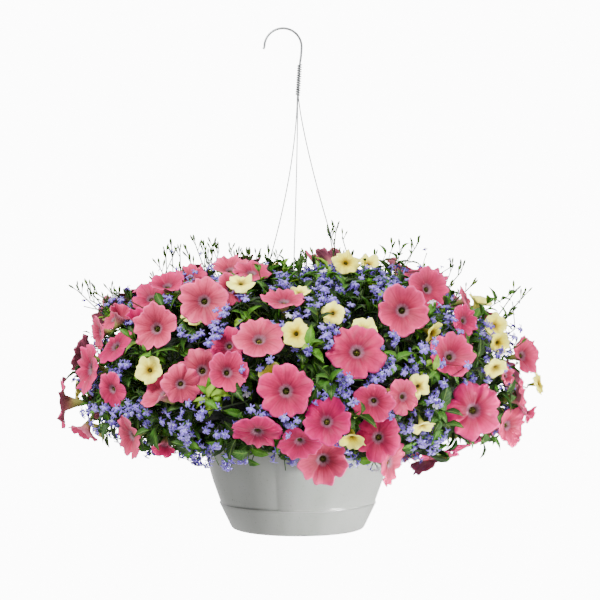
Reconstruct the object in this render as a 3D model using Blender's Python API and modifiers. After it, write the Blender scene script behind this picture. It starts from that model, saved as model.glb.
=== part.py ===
# Flowering hanging basket: a grey plastic pot with its saucer on a three-wire hanger with a J-hook, planted
# with petunias, calibrachoas and lobelia that grow in a dome over the rim.
# Metres, +Z up. The origin is the centre of the saucer's flat underside.

import math
import random
from collections import namedtuple

import bmesh
import bpy
from mathutils import Matrix, Quaternion, Vector, noise
from mathutils.bvhtree import BVHTree

MM = 0.001
UP = Vector((0, 0, 1))
SEED = 7
GAP = 0.3 * MM
CLEAR = 0.6 * MM
SINK = 7 * MM

# Pot, saucer and soil: radius and height of each corner, in millimetres
SIDES = 24
POT = (
    (0, 12.2), (88.5, 12.2), (101, 38.5), (109.8, 38.5), (120.9, 71), (134.2, 118), (142.4, 166),
    (153, 166), (153, 155), (151, 155), (151, 163.5), (144.6, 163.5), (136.5, 118), (123.3, 71),
    (112.2, 39.6), (113.2, 38.8), (113.2, 36.3), (103.3, 36.3), (90.5, 10), (0, 10),
)
SAUCER = (
    (0, 2.4), (92, 2.4), (94.6, 4.6), (110, 36), (112.4, 36), (96.8, 4), (94, 1), (90, 0), (0, 0),
)
SOIL = (
    (0, 150), (60, 149), (138.4, 146), (133.6, 118), (120.4, 71.2), (109.3, 38.9), (100.6, 38.9),
    (88.1, 12.6), (0, 12.6),
)
DRAIN_HOLES = 3
DRAIN_RADIUS = 4.5 * MM
DRAIN_OUT = 60 * MM
DRAIN_TURN = 60
CUT_SIDES = 8
SOIL_TOP = 147 * MM
CROWNS = 4
CROWN_TURN = 20
CROWN_OUT = 72 * MM
CROWN_RADIUS = 4.2 * MM
CROWN_TIP_RADIUS = 3.8 * MM
CROWN_DEPTH = 18 * MM
CROWN_TOP = 170 * MM

# Hanger: each wire leaves the binding, spreads by a power of its run, and hooks under the rim's flange
FLANGE_UNDER = 163.5 * MM
WIRE_RING = 148.2 * MM
WIRE_RADIUS = 0.85 * MM
WIRE_HOLE = 1.6 * MM
WIRE_FOOT = 176 * MM
WIRE_SPREAD = 624 * MM
WIRE_TOP = 649.3 * MM
WIRE_TOP_OUT = 1.13 * MM
WIRE_STEPS = 9
WIRE_BEND = 2.2 * MM
WIRE_BEND_HEIGHT = 160.4 * MM
WIRES = {
    "hanger_wire_front": (-95.1, 1.45),
    "hanger_wire_left": (144.9, 1.7),
    "hanger_wire_right": (24.9, 1.28),
}
BINDING_LOW = 627 * MM
BINDING_HIGH = 671 * MM
BINDING_LEAN = 2.9 * MM
BINDING_TURNS = 8
BINDING_STEPS = 8
BINDING_OUT = 3.15 * MM
BINDING_RADIUS = 0.6 * MM
HOOK_RADIUS = 1.7 * MM
HOOK_ARC = 27 * MM
HOOK_CENTRE = Vector((-21.5, 0, 697)) * MM
HOOK_TIP = Vector((-50.1, 0, 694)) * MM
HOOK_STEP = 15
SHANK_BEND = Vector((4.7, 0, 684)) * MM

# The dome that the flowers grow out to, and the denser core of stems and leaves inside it
DOME_MIDDLE = 200 * MM
DOME_REACH = 322 * MM
DOME_RISE = 184 * MM
DOME_FALL = 114 * MM
DOME_POWER = 2.5
CORE_REACH = 256 * MM
CORE_RISE = 120 * MM
CORE_FALL = 66 * MM
CORE_SIDES = 20
CORE_ARC_STEPS = 9
CORE_ARC_STEP = 19
CORE_LUMP = 14 * MM
LUMP_SCALE = 14
LUMP_FROM = 190 * MM
LUMP_OVER = 250 * MM
CORE_INSIDE = ((169, 142), (164, 184), (128, 184), (121, 157), (0, 157))
CORE_HEART = 205 * MM
CHANNEL = 3.4 * MM
CHANNEL_STEPS = 7

# Where the photograph was taken from: one pixel covers PER_PIXEL at the pot's axis
PER_PIXEL = 1.45 * MM
POT_COLUMN = 297.8
LEVEL_ROW = 300
CAMERA = Vector((3.2, -2370, 330)) * MM
SIGHT_START = 1950 * MM
SIGHT_STEP = 2 * MM
SIGHT_STEPS = 230

# Each bloom seen from the front: column and row in the photograph, width in millimetres, and the way it
# faces, in degrees to the right of the camera and degrees up
Seen = namedtuple("Seen", "column row across turn tilt")
PETUNIAS_SEEN = [Seen(*each) for each in (
    (475, 411, 80, 10, 0), (323, 461, 72, 0, -10), (286, 391, 70, 0, 5), (357, 350, 76, 0, 22),
    (403, 310, 72, 5, 5), (204, 300, 66, 0, 12), (155, 328, 66, -15, 10), (86, 369, 72, -62, 5),
    (60, 403, 74, -84, 0), (327, 421, 64, 0, 12), (257, 436, 68, -5, -48), (377, 438, 64, -15, 0),
    (259, 337, 68, 0, 40), (451, 355, 66, 10, 20), (525, 355, 60, 45, 10), (113, 344, 60, -45, 35),
    (128, 437, 62, -58, -15), (201, 369, 64, -10, 20), (393, 464, 62, 58, -10), (429, 288, 60, 25, 15),
    (371, 285, 56, 0, 15), (510, 426, 60, 42, -5), (160, 392, 60, -55, 35), (228, 372, 56, 15, 12),
    (300, 444, 56, 5, -40), (284, 298, 58, 0, 65), (230, 267, 56, -5, 58), (252, 270, 54, 10, 60),
    (150, 296, 56, -20, 45), (167, 283, 54, -8, 58), (520, 397, 58, 76, 10), (373, 403, 54, -10, -20),
    (405, 397, 50, 30, 0), (181, 385, 52, 8, -8), (190, 276, 50, -10, 48), (110, 390, 50, -40, -10),
    (84, 432, 50, -60, -60), (228, 345, 50, -15, 20), (374, 310, 46, 0, -35), (466, 320, 46, 40, 10),
    (231, 289, 44, 10, 10), (97, 333, 48, -68, -5), (112, 317, 46, -50, 40), (468, 299, 42, 72, 22),
)]
PETUNIAS_HALF_OPEN = [Seen(*each) for each in (
    (124, 311, 40, 50, 55), (136, 315, 30, -20, 60), (163, 451, 32, -10, -50), (405, 334, 28, 10, -20),
    (533, 416, 28, 60, -20), (510, 376, 26, 40, 0),
)]
CALIBRACHOAS_SEEN = [Seen(*each) for each in (
    (149, 370, 38, -10, 10), (195, 313, 38, 0, 32), (241, 281, 38, 0, 52), (300, 291, 28, 0, 60),
    (296, 333, 38, -5, 15), (272, 377, 38, 0, 10), (346, 261, 40, 0, 35), (369, 262, 34, 10, 50),
    (333, 313, 32, 0, 10), (364, 329, 36, 5, 30), (388, 396, 34, -10, -40), (419, 387, 34, 15, -10),
    (352, 440, 36, 0, -52), (496, 325, 36, 20, 15), (499, 343, 34, 30, -10), (434, 334, 36, 58, -20),
    (496, 369, 34, 20, -40), (541, 383, 34, 60, 10), (423, 428, 32, 30, -58),
)]
PETUNIA_SPRAYS = 22
CALIBRACHOA_SPRAYS = 12
PETUNIAS_BEHIND = 42
PETUNIA_SPACING = 62 * MM
PETUNIA_ACROSS = 66 * MM
CALIBRACHOAS_BEHIND = 17
CALIBRACHOA_SPACING = 41 * MM
CALIBRACHOA_ACROSS = 37 * MM

# Each front lobelia spray has one or two branches, as the pixels that its stem passes
LOBELIAS_SEEN = (
    (((196, 286), (182, 277), (162, 281), (146, 267)), ((222, 284), (215, 268), (207, 247))),
    (((240, 303), (220, 308), (216, 324), (211, 338), (196, 342)),),
    (((290, 312), (280, 322), (282, 338), (264, 352), (250, 367), (262, 384)),
     ((282, 306), (280, 283), (267, 266))),
    (((245, 402), (254, 425), (244, 441), (223, 437), (211, 446)),
     ((207, 413), (180, 412), (167, 424), (183, 437), (192, 449))),
    (((146, 404), (138, 402), (103, 414), (90, 408), (86, 388)),),
    (((130, 300), (112, 300), (96, 303), (78, 300)), ((150, 268), (164, 262), (176, 250))),
    (((266, 412), (282, 418), (302, 410), (322, 405)),),
    (((338, 354), (328, 338), (321, 325), (320, 308), (316, 290)), ((335, 285), (337, 262), (334, 232))),
    (((378, 362), (388, 370), (374, 378), (362, 388), (344, 382), (352, 404)),),
    (((392, 418), (405, 430), (413, 440)), ((425, 436), (440, 440), (433, 449))),
    (((425, 350), (438, 362), (455, 370), (440, 382), (437, 398), (426, 410)),
     ((433, 340), (447, 328), (484, 321))),
    (((397, 288), (398, 270), (424, 268), (430, 250)), ((440, 272), (455, 262))),
    (((500, 354), (512, 362), (488, 378), (479, 388)), ((510, 335), (520, 322), (520, 298))),
)
LOBELIAS_BEHIND = 4
FLORET_STEP = 30 * MM
FLORET_ACROSS = 17 * MM
FLORET_DEEP = 9 * MM
THIN_STEM = 0.9 * MM

# Leafy shoots seen from the front, as the pixels that their tips reach
SHOOTS_SEEN = (
    (130, 338), (205, 401), (449, 414), (310, 345), (400, 358), (360, 415), (388, 256), (436, 258),
    (508, 303), (358, 469), (489, 437), (104, 424), (284, 262),
)
LEAVES_PER_SHOOT = 3
LEAF_LENGTH = 62 * MM
LEAF_SLOT = 3.5 * MM
LEAF_PATCH = 0.0003
LEAVES_GROWN = 100

# Depths that a bloom, stem or shoot may take along its sightline so that it crosses nothing
LIFTS = [each * MM for each in (0, -7, 6, -14, 12, -21, 18, -28, -35, 24)]

COLOURS = {
    "pot_plastic": ((0.38, 0.41, 0.41), 0.22, 0.0),
    "soil": ((0.035, 0.022, 0.014), 0.95, 0.0),
    "hanger_steel": ((0.42, 0.43, 0.43), 0.35, 0.9),
    "foliage_green": ((0.10, 0.22, 0.035), 0.6, 0.0),
    "petunia_pink": ((0.83, 0.15, 0.24), 0.5, 0.0),
    "calibrachoa_yellow": ((0.86, 0.75, 0.30), 0.5, 0.0),
    "lobelia_blue": ((0.30, 0.30, 0.80), 0.5, 0.0),
}

# A trumpet bloom, as fractions of its radius: the notches between its five lobes, the throat's radius and
# depth, the pit in the throat, the neck behind it and the length of the tube
Trumpet = namedtuple("Trumpet", "per_lobe notch throat drop pit neck neck_drop tube ripple")
PETUNIA = Trumpet(3, 0.87, 0.20, 0.20, 0.56, 0.25, 0.38, 1.12, 0.09)
PETUNIA_SMALL = Trumpet(2, 0.85, 0.20, 0.22, 0.58, 0.26, 0.40, 1.15, 0.09)
PETUNIA_FURLED = Trumpet(2, 0.80, 0.28, 0.70, 1.0, 0.34, 0.85, 1.7, 0.12)
CALIBRACHOA = Trumpet(2, 0.84, 0.22, 0.14, 0.52, 0.28, 0.36, 1.2, 0.06)
LOBES = 5
STALK = 1.6 * MM
STEM = 2.2 * MM
KNOT = 3.2 * MM
KNUCKLE = 1.3 * MM
LEAF_BLADE = 0.8 * MM


def clear_scene():
    for thing in list(bpy.data.objects):
        bpy.data.objects.remove(thing, do_unlink=True)


def collection(name):
    made = bpy.data.collections.new(name)
    bpy.context.scene.collection.children.link(made)
    return made


def material(name):
    colour, roughness, metallic = COLOURS[name]
    made = bpy.data.materials.new(name)
    made.use_nodes = True
    shader = made.node_tree.nodes["Principled BSDF"]
    shader.inputs["Base Color"].default_value = (*colour, 1)
    shader.inputs["Roughness"].default_value = roughness
    shader.inputs["Metallic"].default_value = metallic
    made.diffuse_color = (*colour, 1)
    return made


def put(name, mesh, stuff, where):
    """A new object for a mesh, in a collection."""
    made = bpy.data.objects.new(name, mesh)
    mesh.materials.clear()
    mesh.materials.append(stuff)
    where.objects.link(made)
    return made


def settle(thing):
    """Apply an object's modifiers."""
    graph = bpy.context.evaluated_depsgraph_get()
    mesh = bpy.data.meshes.new_from_object(thing.evaluated_get(graph))
    thing.modifiers.clear()
    thing.data = mesh


def mesh_of(bm):
    """A mesh with outward faces from a bmesh, which is freed."""
    bmesh.ops.recalc_face_normals(bm, faces=bm.faces)
    if bm.calc_volume(signed=True) < 0:
        bmesh.ops.reverse_faces(bm, faces=bm.faces)
    mesh = bpy.data.meshes.new("piece")
    bm.to_mesh(mesh)
    bm.free()
    return mesh


def turned_mesh(profile, sides):
    """A closed solid of revolution from corners in millimetres that run down its outer side."""
    outline = bpy.data.meshes.new("outline")
    points = [(r * MM, 0, z * MM) for r, z in profile]
    outline.from_pydata(points, [(i, i + 1) for i in range(len(points) - 1)], [])
    thing = bpy.data.objects.new("outline", outline)
    bpy.context.scene.collection.objects.link(thing)
    screw = thing.modifiers.new("turn", "SCREW")
    screw.steps = sides
    screw.render_steps = sides
    screw.use_merge_vertices = True
    screw.merge_threshold = 0.00001
    settle(thing)
    bm = bmesh.new()
    bm.from_mesh(thing.data)
    bpy.data.objects.remove(thing)
    bmesh.ops.remove_doubles(bm, verts=bm.verts, dist=0.00001)
    return mesh_of(bm)


def wire_mesh(points, radius, resolution=1):
    """A closed tube along points, from a bevelled curve."""
    curve = bpy.data.curves.new("wire", "CURVE")
    curve.dimensions = "3D"
    curve.bevel_depth = radius
    curve.bevel_resolution = resolution
    curve.use_fill_caps = True
    line = curve.splines.new("POLY")
    line.points.add(len(points) - 1)
    for control, point in zip(line.points, points):
        control.co = (*point, 1)
    thing = bpy.data.objects.new("wire", curve)
    bpy.context.scene.collection.objects.link(thing)
    graph = bpy.context.evaluated_depsgraph_get()
    tube = bpy.data.meshes.new_from_object(thing.evaluated_get(graph))
    bpy.data.objects.remove(thing)
    bm = bmesh.new()
    bm.from_mesh(tube)
    bmesh.ops.remove_doubles(bm, verts=bm.verts, dist=0.000001)
    return mesh_of(bm)


def post_mesh(low, high, low_radius, high_radius, sides=3):
    """A straight tapered stem between two points, from a cone."""
    bm = bmesh.new()
    along = high - low
    bmesh.ops.create_cone(
        bm, cap_ends=True, segments=sides, radius1=low_radius, radius2=high_radius, depth=along.length
    )
    turn = along.to_track_quat("Z", "Y").to_matrix().to_4x4()
    bm.transform(Matrix.Translation((low + high) / 2) @ turn)
    return mesh_of(bm)


def is_closed(mesh):
    bm = bmesh.new()
    bm.from_mesh(mesh)
    closed = bool(bm.faces) and all(edge.is_manifold for edge in bm.edges)
    bm.free()
    return closed


def combine(name, base, others, operation, stuff, where, solvers=("EXACT", "MANIFOLD")):
    """One closed solid from a mesh and a union or difference with the others, as one Boolean."""
    for solver in solvers:
        made = put(name, base.copy(), stuff, where)
        group = collection("cutters")
        for other in others:
            group.objects.link(bpy.data.objects.new("other", other))
        joining = made.modifiers.new("joining", "BOOLEAN")
        joining.operation = operation
        joining.operand_type = "COLLECTION"
        joining.collection = group
        joining.solver = solver
        settle(made)
        for thing in list(group.objects):
            bpy.data.objects.remove(thing)
        bpy.data.collections.remove(group)
        if is_closed(made.data):
            break
        bpy.data.objects.remove(made)
    made.data.materials.clear()
    made.data.materials.append(stuff)
    drop_scraps(made)
    return made


def drop_scraps(thing):
    """Keep only the largest body of a fused solid, and split its faces into triangles."""
    bm = bmesh.new()
    bm.from_mesh(thing.data)
    bmesh.ops.triangulate(bm, faces=bm.faces)
    bodies = []
    seen = set()
    for vert in bm.verts:
        if vert in seen:
            continue
        body = {vert}
        edge_of_it = [vert]
        while edge_of_it:
            for edge in edge_of_it.pop().link_edges:
                for end in edge.verts:
                    if end not in body:
                        body.add(end)
                        edge_of_it.append(end)
        seen |= body
        bodies.append(body)
    bodies.sort(key=len)
    scraps = [vert for body in bodies[:-1] for vert in body]
    if scraps:
        print(thing.name, "loses scraps:", [len(body) for body in bodies[:-1]])
        bmesh.ops.delete(bm, geom=scraps, context="VERTS")
    bm.to_mesh(thing.data)
    bm.free()


def around(angle, radius, height):
    """A point at an angle in degrees round the pot's axis."""
    return Vector((radius * math.cos(math.radians(angle)), radius * math.sin(math.radians(angle)), height))


class Crowd:
    """The solids placed so far, so that each new one is put where it touches none of them."""

    def __init__(self):
        self.members = []

    def add(self, mesh):
        points = [vert.co.copy() for vert in mesh.vertices]
        middle = sum(points, Vector()) / len(points)
        reach = max((point - middle).length for point in points)
        tree = BVHTree.FromPolygons(points, [tuple(face.vertices) for face in mesh.polygons])
        self.members.append((middle, reach, tree))

    def touches(self, mesh, margin=CLEAR):
        points = [vert.co + vert.normal * margin for vert in mesh.vertices]
        middle = sum(points, Vector()) / len(points)
        reach = max((point - middle).length for point in points)
        tree = BVHTree.FromPolygons(points, [tuple(face.vertices) for face in mesh.polygons])
        for other_middle, other_reach, other in self.members:
            if (other_middle - middle).length < other_reach + reach and tree.overlap(other):
                return True
        return False


def make_pot(stuff, where):
    """The flanged pot, with its wire holes and drain holes cut."""
    holes = []
    for angle, _ in WIRES.values():
        low = around(angle, WIRE_RING, SOIL_TOP)
        holes.append(post_mesh(low, low + UP * DRAIN_OUT, WIRE_HOLE, WIRE_HOLE, CUT_SIDES))
    for turn in range(DRAIN_HOLES):
        low = around(DRAIN_TURN + turn * 360 / DRAIN_HOLES, DRAIN_OUT, 0)
        holes.append(post_mesh(low, low + UP * CROWN_DEPTH, DRAIN_RADIUS, DRAIN_RADIUS, CUT_SIDES))
    return combine("pot", turned_mesh(POT, SIDES), holes, "DIFFERENCE", stuff, where)


def crown_point(index, height):
    return around(CROWN_TURN + index * 360 / CROWNS, CROWN_OUT, height)


def make_soil(stuff, where):
    """The soil, with a plain hole for each crown stem."""
    holes = []
    for index in range(CROWNS):
        low = crown_point(index, SOIL_TOP - CROWN_DEPTH - GAP)
        high = crown_point(index, CROWN_TOP)
        holes.append(post_mesh(low, high, CROWN_RADIUS + CLEAR, CROWN_RADIUS + CLEAR, CUT_SIDES))
    return combine("soil", turned_mesh(SOIL, SIDES), holes, "DIFFERENCE", stuff, where)


def make_hook(stuff, where):
    """The J-hook: its short tip, its arc, and the shank down to just above the wires' tops."""
    points = [HOOK_TIP]
    for angle in range(180, -1, -HOOK_STEP):
        turn = math.radians(angle)
        points.append(HOOK_CENTRE + Vector((math.cos(turn), 0, math.sin(turn))) * HOOK_ARC)
    points.append(SHANK_BEND)
    points.append(binding_axis(BINDING_HIGH))
    points.append(binding_axis(WIRE_TOP + CLEAR))
    return put("hanger_hook", wire_mesh(points, HOOK_RADIUS), stuff, where)


def binding_axis(height):
    """The leaning axis of the binding, which stands upright below it."""
    share = max(0, (height - BINDING_LOW) / (BINDING_HIGH - BINDING_LOW))
    return Vector((BINDING_LEAN * share, 0, height))


def make_binding(stuff, where):
    """The thin wire wound round the shank's end and the tops of the three wires."""
    points = []
    for step in range(BINDING_TURNS * BINDING_STEPS + 1):
        share = step / (BINDING_TURNS * BINDING_STEPS)
        height = BINDING_LOW + (BINDING_HIGH - BINDING_LOW) * share
        points.append(binding_axis(height) + around(step * 360 / BINDING_STEPS, BINDING_OUT, 0))
    return put("hanger_binding", wire_mesh(points, BINDING_RADIUS, 0), stuff, where)


def wire_route(angle, power, steps):
    """A hanger wire from its top in the binding, out and down to just above its hole in the rim."""
    points = [binding_axis(WIRE_TOP) + around(angle, WIRE_TOP_OUT, 0)]
    for step in range(steps + 1):
        share = step / steps
        height = WIRE_SPREAD + (WIRE_FOOT - WIRE_SPREAD) * share
        points.append(around(angle, WIRE_TOP_OUT + (WIRE_RING - WIRE_TOP_OUT) * share ** power, height))
    return points


def make_wire(name, angle, power, stuff, where):
    """One wire, with its end bent up under the rim's flange."""
    points = wire_route(angle, power, WIRE_STEPS)
    side = around(angle + 90, 1, 0)
    low = around(angle, WIRE_RING, WIRE_BEND_HEIGHT)
    for turn in (180, 225, 270, 315, 360):
        swing = UP * math.sin(math.radians(turn)) + side * (1 + math.cos(math.radians(turn)))
        points.append(low + swing * WIRE_BEND)
    end = points[-1].copy()
    end.z = FLANGE_UNDER - GAP
    points.append(end)
    return put(name, wire_mesh(points, WIRE_RADIUS), stuff, where)


def dome_level(point, lift=0.0):
    """1 on the dome grown by lift, less inside it."""
    up = point.z - DOME_MIDDLE
    across = math.hypot(point.x, point.y) / (DOME_REACH + lift)
    along = abs(up) / ((DOME_RISE if up > 0 else DOME_FALL) + lift)
    return (across ** DOME_POWER + along ** DOME_POWER) ** (1 / DOME_POWER)


def dome_normal(point):
    step = 1 * MM
    slope = [
        dome_level(point + Vector(axis) * step) - dome_level(point - Vector(axis) * step)
        for axis in ((1, 0, 0), (0, 1, 0), (0, 0, 1))
    ]
    return Vector(slope).normalized()


def on_sightline(column, row, lift=0.0):
    """Where the sightline through a pixel of the photograph meets the dome, or passes nearest to it."""
    seen = Vector(((column - POT_COLUMN) * PER_PIXEL, 0, CAMERA.z + (LEVEL_ROW - row) * PER_PIXEL))
    ray = (seen - CAMERA).normalized()
    nearest = None
    for step in range(SIGHT_STEPS):
        point = CAMERA + ray * (SIGHT_START + step * SIGHT_STEP)
        level = dome_level(point, lift)
        if level <= 1:
            return point
        if nearest is None or level < nearest[0]:
            nearest = (level, point)
    return nearest[1]


def on_dome(angle, rise, lift=0.0):
    """The dome's point at an angle round it and a slope from its middle, both in degrees."""
    ray = around(angle, math.cos(math.radians(rise)), math.sin(math.radians(rise)))
    middle = Vector((0, 0, DOME_MIDDLE))
    far = 1 / dome_level(middle + ray, lift)
    return middle + ray * far


def core_profile():
    """The core's outer side by the dome's rule, then its underside round the pot's rim and into the pot."""
    corners = []
    for step in range(CORE_ARC_STEPS):
        angle = math.radians(90 - step * CORE_ARC_STEP)
        rise = CORE_RISE if angle > 0 else CORE_FALL
        out = abs(math.cos(angle)) ** (2 / DOME_POWER)
        up = math.copysign(abs(math.sin(angle)) ** (2 / DOME_POWER), math.sin(angle))
        corners.append((CORE_REACH * out / MM, (DOME_MIDDLE + rise * up) / MM))
    corners[0] = (0, corners[0][1])
    rim = CORE_INSIDE[0][0] + SINK / MM
    outer = [corner for corner in corners if corner[1] > DOME_MIDDLE / MM or corner[0] > rim]
    return outer + list(CORE_INSIDE)


def make_core():
    """The lumpy core, in flat triangles, so that feet that stand on its skin fit it exactly."""
    bm = bmesh.new()
    bm.from_mesh(turned_mesh(core_profile(), CORE_SIDES))
    for vert in bm.verts:
        if math.hypot(*vert.co.xy) > LUMP_FROM or vert.co.z > LUMP_OVER:
            vert.co += dome_normal(vert.co) * noise.noise(vert.co * LUMP_SCALE) * CORE_LUMP
    bmesh.ops.triangulate(bm, faces=bm.faces)
    return mesh_of(bm)


def ring_points(centre, direction, radius, count=3):
    """Points round a direction, for the end of a stem."""
    turn = direction.to_track_quat("Z", "Y")
    angles = [2 * math.pi * index / count for index in range(count)]
    return [centre + turn @ Vector((math.cos(angle), math.sin(angle), 0)) * radius for angle in angles]


def new_ring(bm, points):
    return [bm.verts.new(point) for point in points]


def zip_rings(bm, near, far):
    """Triangles between two rings that turn the same way, whatever their numbers of points."""
    def strain(shift):
        ends = [far[(shift + index * len(far) // len(near)) % len(far)] for index in range(len(near))]
        return sum((a.co - b.co).length for a, b in zip(near, ends))

    shift = min(range(len(far)), key=strain)
    i = 0
    j = 0
    while i < len(near) or j < len(far):
        a = near[i % len(near)]
        b = far[(shift + j) % len(far)]
        if j == len(far) or (i < len(near) and (i + 1) / len(near) <= (j + 1) / len(far)):
            i += 1
            bm.faces.new((a, near[i % len(near)], b))
        else:
            j += 1
            bm.faces.new((a, far[(shift + j) % len(far)], b))


def bridge(bm, inner, outer):
    """Triangles from a ring to one with a whole multiple of its points, alike for every lobe."""
    per = len(outer) // len(inner)
    half = (per + 1) // 2
    for index, near in enumerate(inner):
        far = inner[(index + 1) % len(inner)]
        run = [outer[(per * index + step) % len(outer)] for step in range(per + 1)]
        for step in range(per):
            bm.faces.new((near if step < half else far, run[step], run[step + 1]))
        bm.faces.new((near, run[half], far))


def fan(bm, tip, edge):
    for index, vert in enumerate(edge):
        bm.faces.new((tip, vert, edge[(index + 1) % len(edge)]))


def grow_trumpet(bm, tip_ring, form, across, place, rng):
    """A bloom that faces the placing's +Z, lofted from the ring at its tube's tip: the tube, the back of
    the lobes out to their edge, their face, and down into the throat, with both faces split alike."""
    radius = across / 2
    count = LOBES * form.per_lobe
    ripples = [rng.uniform(-form.ripple, form.ripple * 0.5) * radius for _ in range(count)]

    def ring(points, size, height, waves=None):
        made = []
        for index in range(points):
            at_notch = waves and index % form.per_lobe == 0
            out = size * (form.notch if at_notch else 1)
            turn = 2 * math.pi * index / points
            if waves and form.per_lobe == 3 and not at_notch:
                turn += math.radians(-5 if index % 3 == 1 else 5)
            lift = height + (waves[index] if waves and not at_notch else 0)
            made.append(place @ Vector((out * math.cos(turn), out * math.sin(turn), lift)))
        return new_ring(bm, made)

    neck = ring(LOBES, form.neck * radius, -form.neck_drop * radius)
    rim = ring(count, radius, 0, ripples)
    throat = ring(LOBES, form.throat * radius, -form.drop * radius)
    zip_rings(bm, tip_ring, neck)
    bridge(bm, neck, rim)
    bridge(bm, throat, rim)
    fan(bm, bm.verts.new(place @ Vector((0, 0, -form.pit * radius))), throat)


def grow_floret(bm, root_ring, across, place):
    """A lobelia floret that faces the placing's +Z, lofted from its root: three lobes with notches."""
    rim = []
    for index in range(6):
        lobe = index % 2 == 0
        turn = math.radians(60 * index)
        out = across / 2 * (1 if lobe else 0.5)
        lift = (-1 if lobe else 1) * 1.2 * MM
        rim.append(place @ Vector((out * math.cos(turn), out * math.sin(turn), lift)))
    rim = new_ring(bm, rim)
    zip_rings(bm, root_ring, rim)
    fan(bm, bm.verts.new(place @ Vector((0, 0, -1.5 * MM))), rim)


def draw_out(bm, facet, points):
    """Draw a facet out into a sleeve that ends in a new ring."""
    near = [loop.vert for loop in facet.loops]
    bm.faces.remove(facet)
    far = new_ring(bm, points)
    zip_rings(bm, near, far)
    return far


def best_facet(facets, direction):
    free = [facet for facet in facets if facet.is_valid]
    return max(free, key=lambda facet: facet.normal.dot(direction))


def leaf_mesh(length, width, droop):
    """An ovate leaf along +X, folded at its rib: a fan of six faces with Solidify's two alike sides."""
    bm = bmesh.new()
    outline = ((0, 0), (0.34, 0.5), (0.72, 0.36), (1, 0), (0.72, -0.36), (0.34, -0.5))
    verts = []
    for along, aside in outline:
        height = abs(aside) * 0.45 * width - droop * length * along * along
        verts.append(bm.verts.new((along * length, aside * width, height)))
    rib = bm.verts.new((0.52 * length, 0, -droop * length * 0.2))
    for index, vert in enumerate(verts):
        bm.faces.new((rib, vert, verts[(index + 1) % len(verts)]))
    bmesh.ops.recalc_face_normals(bm, faces=bm.faces)
    bmesh.ops.solidify(bm, geom=bm.faces[:], thickness=LEAF_BLADE)
    return mesh_of(bm)


def moved(mesh, place):
    mesh.transform(place)
    mesh.update()
    return mesh


def looking(turn, tilt):
    """A direction, in degrees to the right of the camera and degrees up."""
    turn = math.radians(turn)
    tilt = math.radians(tilt)
    return Vector((math.sin(turn) * math.cos(tilt), -math.cos(turn) * math.cos(tilt), math.sin(tilt)))


def aimed(point, direction, spin):
    """The placing that puts +Z along a direction at a point, spun about it."""
    turn = direction.to_track_quat("Z", "Y") @ Quaternion((0, 0, 1), spin)
    return Matrix.Translation(point) @ turn.to_matrix().to_4x4()


Spot = namedtuple("Spot", "place direction across form")
Bloom = namedtuple("Bloom", "spot across place waves mesh")


def seen_spots(table, form, small=None):
    """The blooms of a table, each as a function of lift that gives its place, and its direction."""
    spots = []
    for seen in table:
        use = small if small and seen.across < 50 else form
        place = lambda lift, seen=seen: on_sightline(seen.column, seen.row, lift)
        spots.append(Spot(place, looking(seen.turn, seen.tilt), seen.across * MM, use))
    return spots


def spots_behind(count, taken, spacing, across, form, rng):
    """Blooms out of the camera's sight, spread over the back and the top by a seeded rule of spacing."""
    spots = []
    taken = list(taken)
    tries = 0
    while len(spots) < count and tries < 4000:
        tries += 1
        angle = rng.uniform(-25, 205)
        rise = rng.triangular(-38, 85, 20)
        point = on_dome(angle, rise)
        normal = dome_normal(point)
        if normal.y < -0.1 or min((point - other).length for other in taken) < spacing:
            continue
        taken.append(point)
        lean = Vector([rng.uniform(-0.35, 0.35) for _ in range(3)])
        place = lambda lift, angle=angle, rise=rise: on_dome(angle, rise, lift)
        size = across * rng.uniform(0.86, 1.1)
        spots.append(Spot(place, (normal + lean).normalized(), size, form))
    return spots


def share_out(spots, groups):
    """Sort spots into groups of near neighbours: the one furthest out takes its nearest, time after time."""
    left = [(spot, spot.place(0)) for spot in spots]
    shares = []
    while left:
        size = math.ceil(len(left) / (groups - len(shares)))
        middle = sum((point for _, point in left), Vector()) / len(left)
        outer = max(left, key=lambda each: (each[1] - middle).length)[1]
        left.sort(key=lambda each: (each[1] - outer).length)
        shares.append([spot for spot, _ in left[:size]])
        left = left[size:]
    return shares


def bloom_place(spot, lift, spin):
    return aimed(spot.place(lift), spot.direction, spin)


def tube_tip(spot, across, place):
    """The ring at the tip of a bloom's tube."""
    tip = place @ Vector((0, 0, -spot.form.tube * across / 2))
    return ring_points(tip, spot.direction, STALK)


def place_bloom(spot, crowd, core, first, rng):
    """The size, placing and waves of a bloom at the first depth where it touches nothing."""
    spin = rng.uniform(0, 2 * math.pi)
    waves = rng.randrange(1000)
    for shrink in (1, 0.93, 0.86):
        for lift in LIFTS[first:] + LIFTS[:first]:
            across = spot.across * shrink
            place = bloom_place(spot, lift, spin)
            bm = bmesh.new()
            tip = new_ring(bm, tube_tip(spot, across, place))
            bm.faces.new(tip)
            grow_trumpet(bm, tip, spot.form, across, place, random.Random(waves))
            mesh = mesh_of(bm)
            if not crowd.touches(mesh) and not core.touches(mesh):
                return Bloom(spot, across, place, waves, mesh)
    return None


def core_foot(point, tree):
    """The nearest point of the core's skin, with its normal."""
    foot, normal, _, _ = tree.find_nearest(point)
    return foot, normal


def best_spin(directions, rng):
    """The turn of the knot that gives every direction a facet of its own that faces it best."""
    corners = [Vector((x, y, z)).normalized() for x in (-1, 1) for y in (-1, 1) for z in (-1, 1)]
    best = None
    for _ in range(40):
        spin = Quaternion([rng.gauss(0, 1) for _ in range(4)]).normalized()
        free = [spin @ corner for corner in corners]
        worst = 1
        for direction in directions:
            near = max(free, key=direction.dot)
            free.remove(near)
            worst = min(worst, near.dot(direction))
        if best is None or worst > best[0]:
            best = (worst, spin)
    return best[1]


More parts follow.
